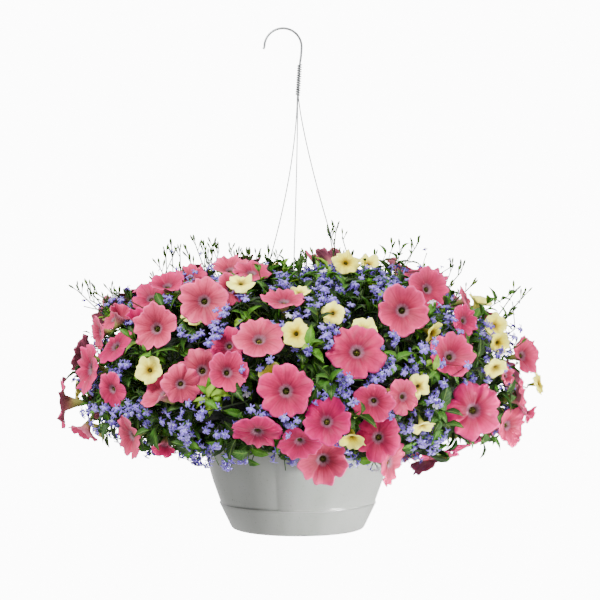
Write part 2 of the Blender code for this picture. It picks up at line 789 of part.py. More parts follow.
def grow_spray(blooms, foot, normal, fork, rng):
    """A spray as one closed mesh: a knot at the fork, its facets drawn out to the foot on the core and to
    each bloom's tube."""
    tips = [tube_tip(bloom.spot, bloom.across, bloom.place) for bloom in blooms]
    ways = [(foot - fork).normalized()] + [(sum(tip, Vector()) / 3 - fork).normalized() for tip in tips]
    bm = bmesh.new()
    bmesh.ops.create_uvsphere(bm, u_segments=4, v_segments=2, radius=KNOT)
    bm.transform(Matrix.Rotation(math.pi / 4, 4, "Z"))
    bm.transform(Matrix.Translation(fork) @ best_spin(ways, rng).to_matrix().to_4x4())
    bm.normal_update()
    facets = bm.faces[:]
    foot_ring = draw_out(bm, best_facet(facets, ways[0]), ring_points(foot + normal * GAP, -normal, STEM))
    bm.faces.new(foot_ring)
    for bloom, tip, way in zip(blooms, tips, ways[1:]):
        ring = draw_out(bm, best_facet(facets, way), tip)
        grow_trumpet(bm, ring, bloom.spot.form, bloom.across, bloom.place, random.Random(bloom.waves))
    return mesh_of(bm)


def crossings(mesh):
    """How many pairs of a mesh's faces cross without sharing a corner."""
    faces = [tuple(face.vertices) for face in mesh.polygons]
    tree = BVHTree.FromPolygons([vert.co for vert in mesh.vertices], faces)
    pairs = tree.overlap(tree)
    return sum(1 for a, b in pairs if a < b and not set(faces[a]) & set(faces[b]))


def place_spray(blooms, crowd, core, tree, rng):
    """The spray with the fewest crossings, over a few places for its fork."""
    tips = [sum(tube_tip(bloom.spot, bloom.across, bloom.place), Vector()) / 3 for bloom in blooms]
    middle = sum(tips, Vector()) / len(tips)
    best = None
    for attempt in range(90):
        stray = Vector([rng.uniform(-1, 1) for _ in range(3)]) * (3 + attempt * 0.4) * MM
        foot, normal = core_foot(middle + stray, tree)
        high = (middle + stray - foot).dot(normal)
        fork = foot + normal * max(8 * MM, high * rng.uniform(0.3, 1.0))
        mesh = grow_spray(blooms, foot, normal, fork, rng)
        crossed = crossings(mesh) + 10 * crowd.touches(mesh)
        crossed += 10 * core.touches(mesh, GAP / 3)
        if best is None or crossed < best[0]:
            best = (crossed, mesh)
        if not crossed:
            break
    return best


def try_spray(group, first, crowd, core, tree, rng):
    """How often a spray crosses something, its mesh and its number of blooms."""
    blooms = []
    for spot in group:
        bloom = place_bloom(spot, crowd, core, first, rng)
        if bloom:
            blooms.append(bloom)
            crowd.add(bloom.mesh)
    for _ in blooms:
        crowd.members.pop()
    crossed, mesh = place_spray(blooms, crowd, core, tree, rng)
    return crossed, mesh, len(blooms)


def make_sprays(kind, groups, crowd, core, tree, stuff, where, rng):
    """One node for each group of neighbouring blooms on their forked stalk."""
    made = 0
    for number, group in enumerate(groups, 1):
        name = f"{kind}_spray_{number:02d}"
        best = None
        while best is None:
            for first in range(6):
                crossed, mesh, count = try_spray(group, first, crowd, core, tree, rng)
                if not crossed and (best is None or count > best[1]):
                    best = (mesh, count)
                if best and best[1] == len(group):
                    break
            if best is None:
                group = group[:-1]
        made += best[1]
        put(name, best[0], stuff, where)
        crowd.add(best[0])
    print(kind, "blooms:", made, "of", sum(len(group) for group in groups))


def smooth_route(points, step):
    """Points about a step apart on a smooth curve through the given ones."""
    ends = [points[0] * 2 - points[1], *points, points[-1] * 2 - points[-2]]
    route = []
    for a, b, c, d in zip(ends, ends[1:], ends[2:], ends[3:]):
        pieces = max(1, round((c - b).length / step))
        for piece in range(pieces):
            t = piece / pieces
            curve = (2 * a - 5 * b + 4 * c - d) * t * t + (3 * b - a - 3 * c + d) * t ** 3
            route.append(0.5 * (2 * b + (c - a) * t + curve))
    return route + [points[-1]]


def thread_route(start, wanted, crowds, rng):
    """A stem's points from a start past wanted points, each set in or out along the dome's normal so that
    no stretch touches what is already there."""
    route = [start]
    for point in wanted:
        normal = dome_normal(point)
        stray = Vector([rng.uniform(-1, 1) for _ in range(3)]) * 5 * MM
        for lift in [each - 8 * MM for each in LIFTS]:
            there = point + stray + normal * lift
            if (there - route[-1]).length < 9 * MM:
                continue
            stretch = post_mesh(route[-1], there, THIN_STEM, THIN_STEM, 4)
            if not any(crowd.touches(stretch) for crowd in crowds):
                route.append(there)
                break
    return route


def floret_choice(root, along, index, crowds, small, rng):
    """The size and placing of a floret beside its stem, where it touches nothing."""
    out = dome_normal(root)
    side = along.cross(out).normalized() * (1 if index % 2 else -1)
    for _ in range(24):
        stray = Vector([rng.uniform(-0.45, 0.45) for _ in range(3)])
        direction = out + side * rng.uniform(0.1, 0.8) + stray
        direction = (direction - along * direction.dot(along) * 0.85).normalized()
        across = FLORET_ACROSS * (0.55 if small else rng.uniform(0.9, 1.1))
        deep = FLORET_DEEP * rng.uniform(1.0, 1.4)
        place = aimed(root + direction * deep, direction, rng.uniform(0, 6))
        bm = bmesh.new()
        ring = new_ring(bm, ring_points(root + direction * 1.2 * MM, direction, THIN_STEM))
        bm.faces.new(ring)
        grow_floret(bm, ring, across, place)
        mesh = mesh_of(bm)
        if not any(crowd.touches(mesh) for crowd in crowds):
            return direction, across, place, mesh
    return None


def stem_posts(routes, node):
    """A crowd of plain posts along a spray's stems, which stop short of one of its nodes."""
    own = Crowd()
    for route in routes:
        for low, high in zip(route, route[1:]):
            trim = (high - low).normalized() * 2.5 * KNUCKLE
            low_end = low + trim if low == node else low
            high_end = high - trim if high == node else high
            own.add(post_mesh(low_end, high_end, THIN_STEM, THIN_STEM))
    return own


def grow_lobelia(foot, normal, routes, crowd, core, rng):
    """A spray as one closed mesh: a knot above the core, stems drawn out of it ring by ring, with a short
    knuckle at each point whose facet is drawn out into a floret."""
    joint = routes[0][0]
    ways = [(foot - joint).normalized()] + [(route[1] - joint).normalized() for route in routes]
    bm = bmesh.new()
    bmesh.ops.create_uvsphere(bm, u_segments=4, v_segments=2, radius=THIN_STEM * 2)
    bm.transform(Matrix.Rotation(math.pi / 4, 4, "Z"))
    bm.transform(Matrix.Translation(joint) @ best_spin(ways, rng).to_matrix().to_4x4())
    bm.normal_update()
    knot = bm.faces[:]
    foot_ring = ring_points(foot + normal * GAP, -normal, THIN_STEM)
    bm.faces.new(draw_out(bm, best_facet(knot, ways[0]), foot_ring))
    florets = Crowd()
    rings = []
    for way in ways[1:]:
        facet = best_facet(knot, way)
        rings.append([loop.vert for loop in facet.loops])
        bm.faces.remove(facet)
    for route, ring in zip(routes, rings):
        for index, point in enumerate(route[1:], 1):
            last = index == len(route) - 1
            along = ((point if last else route[index + 1]) - route[index - 1]).normalized()
            low = new_ring(bm, ring_points(point - along * KNUCKLE, along, THIN_STEM))
            high = new_ring(bm, ring_points(point + along * KNUCKLE, along, THIN_STEM))
            zip_rings(bm, ring, low)
            before = set(bm.faces)
            zip_rings(bm, low, high)
            facets = [face for face in bm.faces if face not in before]
            bm.normal_update()
            small = index >= len(route) - 2 and point.z > DOME_MIDDLE + 0.12
            crowds = (crowd, core, florets, stem_posts(routes, point))
            choice = floret_choice(point, along, index, crowds, small, rng)
            if choice:
                direction, across, place, mesh = choice
                florets.add(mesh)
                facet = best_facet(facets, direction)
                root = [loop.vert for loop in facet.loops]
                bm.faces.remove(facet)
                grow_floret(bm, root, across, place)
            ring = high
        bm.faces.new(ring)
    return mesh_of(bm)


def make_lobelia(number, branches, crowd, core, tree, stuff, where, rng):
    """A spray of thin stems with a floret at each of their points, and buds at their tips."""
    name = f"lobelia_spray_{number:02d}"
    best = None
    for attempt in range(60):
        stray = Vector([rng.uniform(-1, 1) for _ in range(3)]) * attempt * 0.8 * MM
        joint = branches[0][0] + dome_normal(branches[0][0]) * LIFTS[attempt % 6] + stray
        foot, normal = core_foot(joint, tree)
        joint = foot + normal * max(9 * MM, (joint - foot).dot(normal) * rng.uniform(0.5, 0.9))
        base = post_mesh(foot + normal * 2 * MM, joint, THIN_STEM, THIN_STEM)
        if crowd.touches(base):
            continue
        dropped = min(0.5, attempt * 0.02)
        kept = [[point for point in wanted if rng.random() >= dropped] for wanted in branches]
        if attempt > 30:
            kept = kept[:1]
        routes = [thread_route(joint, wanted, (crowd, core), rng) for wanted in kept]
        routes = [route for route in routes if len(route) > 2]
        if not routes:
            continue
        mesh = grow_lobelia(foot, normal, routes, crowd, core, rng)
        crossed = crossings(mesh) + 10 * crowd.touches(mesh, GAP) + 10 * core.touches(mesh, GAP / 3)
        size = len(mesh.polygons)
        if best is None or (crossed, -size) < best[:2]:
            best = (crossed, -size, mesh)
        if attempt > 5 and not best[0]:
            break
    if best is None or best[0]:
        print(name, "is left out, crossed", best and best[0])
        return
    put(name, best[2], stuff, where)
    crowd.add(best[2])


def lobelia_branches(rng):
    """The branches of each spray: those seen from the front, then wandering ones on the sides and back."""
    sprays = []
    for spray in LOBELIAS_SEEN:
        paths = [[on_sightline(column, row) for column, row in branch] for branch in spray]
        sprays.append([smooth_route(path, FLORET_STEP) for path in paths])
    for index in range(LOBELIAS_BEHIND):
        start = -10 + 200 * (index + 0.5) / LOBELIAS_BEHIND
        branches = []
        for way in (-1, 1):
            angle = start
            rise = 15
            points = []
            for _ in range(3):
                points.append(on_dome(angle, rise))
                angle += rng.uniform(2, 9) * way
                rise += rng.uniform(10, 20) * way
            branches.append(smooth_route(points, FLORET_STEP))
        sprays.append(branches)
    return sprays


def make_shoot(tip, crowd, tree, rng):
    """A leafy shoot out of the core: a stem, and leaves set round its outer end."""
    foot, _ = core_foot(tip, tree)
    inward = around(math.degrees(math.atan2(foot.y, foot.x)), CORE_HEART, DOME_MIDDLE) - foot
    root = foot + inward.normalized() * 2 * SINK
    stem = post_mesh(root, tip, 2.2 * MM, 1.3 * MM)
    if crowd.touches(stem):
        return []
    meshes = [stem]
    along = (tip - root).normalized()
    for index in range(LEAVES_PER_SHOOT):
        base = tip - along * (4 + 9 * index) * MM
        for _ in range(14):
            spin = rng.uniform(0, 2 * math.pi)
            side = (Quaternion(along, spin) @ along.orthogonal()).normalized()
            way = (side + along * rng.uniform(0.1, 0.9) - UP * 0.15).normalized()
            across = way.cross(along).normalized()
            length = rng.uniform(34, 48) * MM
            leaf = leaf_mesh(length, length * rng.uniform(0.42, 0.55), rng.uniform(0.05, 0.3))
            turn = Matrix((way, across, way.cross(across))).transposed()
            if turn.determinant() < 0:
                continue
            if turn.col[2].dot(along) < 0:
                turn = turn @ Matrix.Rotation(math.pi, 3, "X")
            moved(leaf, Matrix.Translation(base) @ turn.to_4x4())
            if not crowd.touches(leaf):
                meshes.append(leaf)
                break
    return meshes


def blade_rings(centre, normal, way, length, width):
    """A leaf's slot on the core's skin, its widest ring and its tip: a kite folded at its rib."""
    across = way.cross(UP + normal * 0.01).normalized()
    over = way.cross(across)
    along_skin = (across - normal * across.dot(normal)).normalized()
    over_skin = normal.cross(along_skin)
    half = LEAF_BLADE / 2
    slot = [
        centre + along_skin * x * LEAF_SLOT + over_skin * y * LEAF_BLADE
        for x, y in ((1, 1), (-1, 1), (-1, -1), (1, -1))
    ]
    rib = centre + way * length * 0.5 + UP * length * 0.05
    fold = over * width * 0.14
    side = across * width / 2
    widest = [rib + side + fold, rib + over * half, rib - side + fold, rib - over * half]
    tip = centre + way * length - UP * length * 0.08
    return slot, widest, tip


def blade_alone(under, slot, widest, tip):
    """A leaf with the patch of skin that it is drawn from, as a mesh of its own to try against others."""
    bm = bmesh.new()
    patch = new_ring(bm, under)
    bm.faces.new(patch)
    base = new_ring(bm, slot)
    zip_rings(bm, patch, base)
    middle = new_ring(bm, widest)
    zip_rings(bm, base, middle)
    fan(bm, bm.verts.new(tip), middle)
    return mesh_of(bm)


def grow_leaves(core_mesh, crowd, rng):
    """Leaves drawn out of the core's own faces, wherever one touches nothing."""
    bm = bmesh.new()
    bm.from_mesh(core_mesh)
    bm.normal_update()
    grown = Crowd()
    made = 0
    faces = list(bm.faces)
    rng.shuffle(faces)
    for face in faces:
        centre = face.calc_center_median()
        if made == LEAVES_GROWN or face.calc_area() < LEAF_PATCH or dome_level(centre) < 0.6:
            continue
        if math.hypot(centre.x, centre.y) < 0.17 and centre.z < DOME_MIDDLE:
            continue
        for _ in range(14):
            stray = Vector([rng.uniform(-0.9, 0.9) for _ in range(3)])
            way = (face.normal + stray + UP * 0.25).normalized()
            if way.dot(face.normal) < 0.35:
                continue
            length = LEAF_LENGTH * rng.uniform(0.75, 1.2)
            slot, widest, tip = blade_rings(centre, face.normal, way, length, length * rng.uniform(0.4, 0.52))
            under = [vert.co - face.normal * MM for vert in face.verts]
            alone = blade_alone(under, slot, widest, tip)
            if crowd.touches(alone) or grown.touches(alone, 0):
                continue
            grown.add(blade_alone(slot, slot, widest, tip))
            made += 1
            base = draw_out(bm, face, slot)
            middle = new_ring(bm, widest)
            zip_rings(bm, base, middle)
            fan(bm, bm.verts.new(tip), middle)
            break
    print("leaves grown:", made)
    return mesh_of(bm)


def make_foliage(crowd, tree, channels, stuff, where, rng):
    """The core with its leaves, fused with the crown stems and leafy shoots, and with the channels cut."""
    leafy = grow_leaves(make_core(), crowd, rng)
    meshes = []
    for index in range(CROWNS):
        low = crown_point(index, SOIL_TOP - CROWN_DEPTH)
        meshes.append(post_mesh(low, crown_point(index, CROWN_TOP), CROWN_RADIUS, CROWN_TIP_RADIUS, 5))
    for column, row in SHOOTS_SEEN:
        meshes += make_shoot(on_sightline(column, row, -4 * MM), crowd, tree, rng)
    whole = combine("whole", leafy, meshes, "UNION", stuff, where, ("MANIFOLD", "EXACT"))
    made = combine("foliage", whole.data, channels, "DIFFERENCE", stuff, where, ("MANIFOLD", "EXACT"))
    bpy.data.objects.remove(whole)
    return made


def main():
    clear_scene()
    basket = collection("flowering_hanging_basket")
    stuffs = {name: material(name) for name in COLOURS}
    plastic = stuffs["pot_plastic"]
    steel = stuffs["hanger_steel"]
    rng = random.Random(SEED)
    crowd = Crowd()
    hardware = [
        make_pot(plastic, basket),
        put("saucer", turned_mesh(SAUCER, SIDES), plastic, basket),
        make_soil(stuffs["soil"], basket),
        make_hook(steel, basket),
        make_binding(steel, basket),
    ]
    for name, (angle, power) in WIRES.items():
        hardware.append(make_wire(name, angle, power, steel, basket))
    for thing in hardware:
        crowd.add(thing.data)

    # The channels are cut from the core first, so that feet and roots keep clear of them
    channels = []
    for angle, power in WIRES.values():
        route = wire_route(angle, power, CHANNEL_STEPS)[3:]
        channels.append(wire_mesh([*route, around(angle, WIRE_RING, WIRE_BEND_HEIGHT)], CHANNEL))
    core_thing = combine("core", make_core(), channels, "DIFFERENCE", stuffs["foliage_green"], basket)
    core_mesh = core_thing.data
    bpy.data.objects.remove(core_thing)
    core = Crowd()
    core.add(core_mesh)
    tree = core.members[0][2]

    petunias = seen_spots(PETUNIAS_SEEN, PETUNIA, PETUNIA_SMALL)
    petunias += seen_spots(PETUNIAS_HALF_OPEN, PETUNIA_FURLED)
    front = [spot.place(0) for spot in petunias]
    petunias += spots_behind(PETUNIAS_BEHIND, front, PETUNIA_SPACING, PETUNIA_ACROSS, PETUNIA_SMALL, rng)
    groups = share_out(petunias, PETUNIA_SPRAYS)
    make_sprays("petunia", groups, crowd, core, tree, stuffs["petunia_pink"], basket, rng)
    yellows = seen_spots(CALIBRACHOAS_SEEN, CALIBRACHOA)
    taken = [spot.place(0) for spot in petunias + yellows]
    yellows += spots_behind(
        CALIBRACHOAS_BEHIND, taken, CALIBRACHOA_SPACING, CALIBRACHOA_ACROSS, CALIBRACHOA, rng
    )
    groups = share_out(yellows, CALIBRACHOA_SPRAYS)
    make_sprays("calibrachoa", groups, crowd, core, tree, stuffs["calibrachoa_yellow"], basket, rng)
    for number, branches in enumerate(lobelia_branches(rng), 1):
        make_lobelia(number, branches, crowd, core, tree, stuffs["lobelia_blue"], basket, rng)
    make_foliage(crowd, tree, channels, stuffs["foliage_green"], basket, rng)

    total = 0
    for thing in basket.objects:
        thing.data.calc_loop_triangles()
        total += len(thing.data.loop_triangles)
        print(thing.name, len(thing.data.loop_triangles))
    print("objects", len(basket.objects), "triangles", total)


main()
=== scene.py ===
# %% [markdown]
# A flowering hanging basket: a grey plastic pot and saucer on a wire hanger, planted with pink petunias,
# yellow calibrachoas and blue lobelia. The CAD parts are loaded as the frame. Each bloom is found in the
# frame by the pattern of its corners and grown again in place, finer, so nothing moves.

# %% Load the frame
import math
import random

import bmesh
import bpy
from mathutils import Matrix, Quaternion, Vector, noise
from mathutils.bvhtree import BVHTree
from mathutils.kdtree import KDTree


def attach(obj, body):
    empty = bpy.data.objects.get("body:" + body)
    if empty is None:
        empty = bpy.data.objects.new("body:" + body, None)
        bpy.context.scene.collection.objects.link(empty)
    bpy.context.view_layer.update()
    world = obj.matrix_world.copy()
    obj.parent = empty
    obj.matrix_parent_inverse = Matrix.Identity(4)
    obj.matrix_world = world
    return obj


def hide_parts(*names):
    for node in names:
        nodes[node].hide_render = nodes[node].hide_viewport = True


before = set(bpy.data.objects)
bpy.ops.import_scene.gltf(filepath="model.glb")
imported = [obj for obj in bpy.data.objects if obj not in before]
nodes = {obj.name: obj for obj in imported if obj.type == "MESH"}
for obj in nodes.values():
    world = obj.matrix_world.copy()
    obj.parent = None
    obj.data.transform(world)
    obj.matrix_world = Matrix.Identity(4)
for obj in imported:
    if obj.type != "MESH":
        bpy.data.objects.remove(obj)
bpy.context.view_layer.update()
MM = 0.001
UP = Vector((0, 0, 1))
rng = random.Random(11)
print("nodes in the frame:", len(nodes))

# %% [markdown]
# The photograph was taken level with the middle of the dome, from about 2.4 m away, so the camera stands
# there with a long lens. The floor is a pale disc far below, which the picture hardly shows, because the
# basket hangs high above it, and the white surround stands behind as the backdrop.

# %% Camera
CAMERA = Vector((3.2, -2370, 330)) * MM
SENSOR = 36
WIDTH_AT_POT = 870 * MM

camera_data = bpy.data.cameras.new("camera")
camera_data.sensor_width = SENSOR
camera_data.lens = SENSOR * -CAMERA.y / WIDTH_AT_POT
camera = bpy.data.objects.new("camera", camera_data)
camera.location = CAMERA
camera.rotation_euler = (math.radians(90), 0, 0)
bpy.context.scene.collection.objects.link(camera)
bpy.context.scene.camera = camera
print("lens", round(camera_data.lens, 1), "mm")


# %% [markdown]
# Colours are written as the hex values that a screen shows. Blender's nodes want linear light, so one
# function turns one into the other. A second one adds a node with its settings and links, and every
# material below is built with it.

# %% Colour and node helpers
def paint(code):
    """A hex colour as linear red, green, blue and alpha."""
    parts = [int(code[i:i + 2], 16) / 255 for i in (1, 3, 5)]
    return (*[c / 12.92 if c <= 0.04045 else ((c + 0.055) / 1.055) ** 2.4 for c in parts], 1)


def add(tree, kind, links=None, **settings):
    """A new node in a tree: settings are its properties, links its sockets' values or sources."""
    made = tree.nodes.new(kind)
    for name, value in settings.items():
        setattr(made, name, value)
    for name, value in (links or {}).items():
        socket = made.inputs[name]
        if isinstance(value, bpy.types.NodeSocket):
            tree.links.new(value, socket)
        else:
            socket.default_value = value
    return made


def finish_of(name, roughness, metallic=0.0):
    """An empty material with its Principled shader, and the tree to build it in."""
    made = bpy.data.materials.new(name)
    made.use_nodes = True
    shader = made.node_tree.nodes["Principled BSDF"]
    shader.inputs["Roughness"].default_value = roughness
    shader.inputs["Metallic"].default_value = metallic
    return made, made.node_tree, shader


def ramp(tree, factor, stops, mode="LINEAR"):
    """A colour ramp with stops of place and hex colour."""
    made = add(tree, "ShaderNodeValToRGB", {"Fac": factor})
    made.color_ramp.interpolation = mode
    steps = made.color_ramp.elements
    while len(steps) < len(stops):
        steps.new(0.5)
    for step, (place, code) in zip(steps, stops):
        step.position = place
        step.color = paint(code)
    return made.outputs["Color"]


def maths(tree, operation, a, b=0.0, c=0.0):
    return add(tree, "ShaderNodeMath", {0: a, 1: b, 2: c}, operation=operation).outputs[0]


def blended(tree, factor, first, second, mode="MIX"):
    made = add(tree, "ShaderNodeMix", {0: factor, 6: first, 7: second}, data_type="RGBA", blend_type=mode)
    return made.outputs[2]


def attribute(tree, name):
    return add(tree, "ShaderNodeAttribute", attribute_name=name).outputs["Fac"]


# %% [markdown]
# Petals are thin, soft and slightly velvety, so their roughness is high and they carry some sheen. Each
# petal mesh has a map called petal. Across it runs once through each of the five lobes. Up it runs from
# the bottom of the throat at -1 to the mouth at 0, the edge at 1, over the back to 2, and down the tube
# to 3. A ramp on that length gives every part of the bloom its colour, and the veins fan out from the
# mouth because they are stripes across the map.

# %% Petal materials
def petal_material(name, stops, vein, rib_width, rib_reach, sheen, hue, value):
    """A petal's finish from its ramp of colours along the bloom, with ribs and veins over it."""
    made, tree, shader = finish_of(name, 0.55)
    shader.inputs["Sheen Weight"].default_value = sheen
    shader.inputs["Sheen Roughness"].default_value = 0.4
    shader.inputs["Specular IOR Level"].default_value = 0.18
    place = add(tree, "ShaderNodeUVMap", uv_map="petal").outputs["UV"]
    parts = add(tree, "ShaderNodeSeparateXYZ", {0: place})
    along = parts.outputs["Y"]
    base = ramp(tree, maths(tree, "MULTIPLY_ADD", along, 0.25, 0.25), stops)

    # Fine veins are stripes across each lobe, bent by noise. The rib runs down the middle of each lobe
    coordinates = add(tree, "ShaderNodeTexCoord").outputs["Object"]
    drift = add(tree, "ShaderNodeTexNoise", {"Vector": coordinates, "Scale": 90.0, "Detail": 2.0}).outputs[0]
    across = maths(tree, "MULTIPLY_ADD", drift, 0.35, parts.outputs["X"])
    wave = maths(tree, "SINE", maths(tree, "MULTIPLY", across, 2 * math.pi * 6))
    stripe = maths(tree, "POWER", maths(tree, "MULTIPLY_ADD", wave, 0.5, 0.5), 3.0)
    middle = maths(tree, "ABSOLUTE", maths(tree, "SUBTRACT", maths(tree, "FRACT", parts.outputs["X"]), 0.5))
    rib = maths(tree, "SUBTRACT", 1.0, maths(tree, "DIVIDE", middle, rib_width))
    rib = maths(tree, "MAXIMUM", rib, 0.0)
    reach = maths(tree, "DIVIDE", maths(tree, "ABSOLUTE", maths(tree, "SUBTRACT", along, 0.1)), rib_reach)
    reach = maths(tree, "MAXIMUM", maths(tree, "SUBTRACT", 1.0, reach), 0.0)
    lines = maths(tree, "MAXIMUM", maths(tree, "MULTIPLY", stripe, 0.45), rib)
    veined = blended(tree, maths(tree, "MULTIPLY", lines, reach), base, paint(vein))

    # Each bloom is a little lighter, darker or older than the next
    tint = attribute(tree, "tint")
    tone = add(tree, "ShaderNodeHueSaturation", {
        "Hue": maths(tree, "MULTIPLY_ADD", tint, 0.010, hue),
        "Saturation": maths(tree, "MULTIPLY_ADD", tint, -0.10, 1.02),
        "Value": maths(tree, "MULTIPLY_ADD", tint, 0.32, value),
        "Color": veined,
    }).outputs["Color"]
    cloud = add(tree, "ShaderNodeTexNoise", {"Vector": coordinates, "Scale": 70.0, "Detail": 3.0}).outputs[0]
    shade = ramp(tree, cloud, [(0.32, "#C4C4C4"), (0.68, "#FFFFFF")])
    tree.links.new(blended(tree, 0.7, tone, shade, "MULTIPLY"), shader.inputs["Base Color"])
    bump = add(tree, "ShaderNodeBump", {"Height": lines, "Strength": 0.35, "Distance": 0.0008})
    tree.links.new(bump.outputs[0], shader.inputs["Normal"])
    return made


petunia_petals = petal_material(
    "petunia_petal_velvet",
    [(0.0, "#3A3010"), (0.12, "#5A4C24"), (0.185, "#705A48"), (0.215, "#84626C"), (0.25, "#906C78"),
     (0.270, "#8C4C64"), (0.292, "#8E0A3A"), (0.33, "#A80440"), (0.40, "#C80654"), (0.465, "#E00C66"),
     (0.497, "#F4348A"), (0.503, "#E4708E"), (0.62, "#CE6480"), (0.74, "#BC7068"), (0.84, "#9C9448"),
     (1.0, "#4C6A20")],
    "#880430", 0.04, 1.0, 0.04, 0.494, 0.72,
)
calibrachoa_petals = petal_material(
    "calibrachoa_petal_velvet",
    [(0.0, "#3C3004"), (0.14, "#5E4C04"), (0.225, "#806A04"), (0.275, "#A48A04"), (0.31, "#DCC410"),
     (0.35, "#FFF040"), (0.43, "#FFF662"), (0.498, "#FFFA84"), (0.502, "#F4E468"), (0.66, "#D8C048"),
     (0.80, "#9C9430"), (1.0, "#5E7C24")],
    "#B89004", 0.18, 0.55, 0.1, 0.500, 1.0,
)


# %% [markdown]
# A lobelia floret is only 14 mm across. Its colour runs from a white eye to periwinkle blue, and some
# florets are older and nearly white, so the tint of each one chooses between three blues.

# %% Lobelia, leaf and stem materials
def tinted_material(name, roughness, tints, along_stops, sheen=0.0):
    """A finish whose colour each repeat takes from its tint, shaded along its length."""
    made, tree, shader = finish_of(name, roughness)
    shader.inputs["Sheen Weight"].default_value = sheen
    shader.inputs["Specular IOR Level"].default_value = 0.22
    colour = ramp(tree, attribute(tree, "tint"), tints)
    along = ramp(tree, attribute(tree, "along"), along_stops)
    coordinates = add(tree, "ShaderNodeTexCoord").outputs["Object"]
    cloud = add(tree, "ShaderNodeTexNoise", {"Vector": coordinates, "Scale": 160.0, "Detail": 3.0}).outputs[0]
    shade = ramp(tree, cloud, [(0.3, "#C8C8C8"), (0.7, "#FFFFFF")])
    colour = blended(tree, 1.0, colour, shade, "MULTIPLY")
    return made, tree, shader, colour, along


lobelia_petals, tree, shader, colour, along = tinted_material(
    "lobelia_petal", 0.5,
    [(0.0, "#50349A"), (0.3, "#7050CC"), (0.65, "#8E6EEE"), (0.90, "#AC98FA"), (0.96, "#ECEAFF"),
     (1.0, "#F4F2FF")],
    [(0.0, "#FFFFFF"), (0.18, "#E8E8FF"), (0.32, "#000000")], 0.2,
)
tree.links.new(blended(tree, 1.0, colour, along, "LIGHTEN"), shader.inputs["Base Color"])

# A leaf's upper side is smooth and slightly waxy, with a paler rib and side veins
leaf_skin, tree, shader, colour, along = tinted_material(
    "leaf_skin_waxy", 0.5,
    [(0.0, "#12280A"), (0.35, "#234814"), (0.65, "#3C741A"), (0.88, "#60A022"), (1.0, "#92BE38")],
    [(0.0, "#B8C880"), (0.25, "#FFFFFF"), (1.0, "#F0F0D0")],
)
colour = blended(tree, 1.0, colour, along, "MULTIPLY")
across = maths(tree, "ABSOLUTE", attribute(tree, "across"))
rib = maths(tree, "MAXIMUM", maths(tree, "SUBTRACT", 1.0, maths(tree, "MULTIPLY", across, 8.0)), 0.0)
side = maths(tree, "MULTIPLY_ADD", across, -0.35, attribute(tree, "along"))
side = maths(tree, "POWER", maths(tree, "ABSOLUTE", maths(tree, "SINE", maths(tree, "MULTIPLY", side, 22.0))), 12.0)
vein = maths(tree, "MAXIMUM", rib, maths(tree, "MULTIPLY", side, 0.35))
colour = blended(tree, maths(tree, "MULTIPLY", vein, 0.35), colour, paint("#8EB04C"))
tree.links.new(colour, shader.inputs["Base Color"])
bump = add(tree, "ShaderNodeBump", {"Height": vein, "Strength": 0.5, "Distance": 0.0008, }, invert=True)
tree.links.new(bump.outputs[0], shader.inputs["Normal"])

stem_skin, tree, shader, colour, along = tinted_material(
    "stem_skin_hairy", 0.6,
    [(0.0, "#16240E"), (0.5, "#3A5A1C"), (1.0, "#7E9A38")],
    [(0.0, "#FFFFFF"), (1.0, "#FFFFFF")],
)
tree.links.new(colour, shader.inputs["Base Color"])

pollen, tree, shader, colour, along = tinted_material(
    "stamen_pollen", 0.8,
    [(0.0, "#4E541C"), (0.6, "#706A28"), (1.0, "#8E803C")],
    [(0.0, "#FFFFFF"), (1.0, "#FFFFFF")],
)
tree.links.new(colour, shader.inputs["Base Color"])

# The inner mass is coloured near black: painted shade, standing in for the shade deep inside the foliage, not the
# colour of its stems and leaves.
painted_shade_green, tree, shader = finish_of("inner_foliage_painted_shade", 0.9)
coordinates = add(tree, "ShaderNodeTexCoord").outputs["Object"]
cloud = add(tree, "ShaderNodeTexNoise", {"Vector": coordinates, "Scale": 60.0, "Detail": 4.0}).outputs[0]
tree.links.new(ramp(tree, cloud, [(0.3, "#040803"), (0.7, "#0E1A08")]), shader.inputs["Base Color"])
bump = add(tree, "ShaderNodeBump", {"Height": cloud, "Strength": 1.0, "Distance": 0.006})
tree.links.new(bump.outputs[0], shader.inputs["Normal"])

# %% [markdown]
# The pot and saucer are injection-moulded polypropylene: smooth and glossy, with faint flow marks and a
# thin film of dust from the potting bench. The hanger is galvanised wire, whose zinc is pale grey and
# slightly mottled. The potting mix is dark, rough and full of fibres.

# %% Pot, wire and soil materials
pot_plastic, tree, shader = finish_of("moulded_polypropylene_grey", 0.3)
shader.inputs["Specular IOR Level"].default_value = 0.5
coordinates = add(tree, "ShaderNodeTexCoord").outputs["Object"]
stretched = add(tree, "ShaderNodeMapping", {"Vector": coordinates, "Scale": (1.0, 1.0, 0.15)}).outputs[0]
flow = add(tree, "ShaderNodeTexNoise", {"Vector": stretched, "Scale": 30.0, "Detail": 3.0}).outputs[0]
dust = add(tree, "ShaderNodeTexNoise", {"Vector": coordinates, "Scale": 400.0, "Detail": 4.0}).outputs[0]
colour = ramp(tree, flow, [(0.3, "#737570"), (0.7, "#7B7D79")])
tree.links.new(colour, shader.inputs["Base Color"])
tree.links.new(maths(tree, "MULTIPLY_ADD", dust, 0.16, 0.22), shader.inputs["Roughness"])
bump = add(tree, "ShaderNodeBump", {"Height": dust, "Strength": 0.04, "Distance": 0.0003})
tree.links.new(bump.outputs[0], shader.inputs["Normal"])

galvanised, tree, shader = finish_of("galvanised_steel_wire", 0.4, 0.85)
coordinates = add(tree, "ShaderNodeTexCoord").outputs["Object"]
spangle = add(tree, "ShaderNodeTexNoise", {"Vector": coordinates, "Scale": 250.0, "Detail": 3.0}).outputs[0]
tree.links.new(ramp(tree, spangle, [(0.3, "#6C7072"), (0.7, "#9C9FA0")]), shader.inputs["Base Color"])
tree.links.new(maths(tree, "MULTIPLY_ADD", spangle, 0.3, 0.25), shader.inputs["Roughness"])

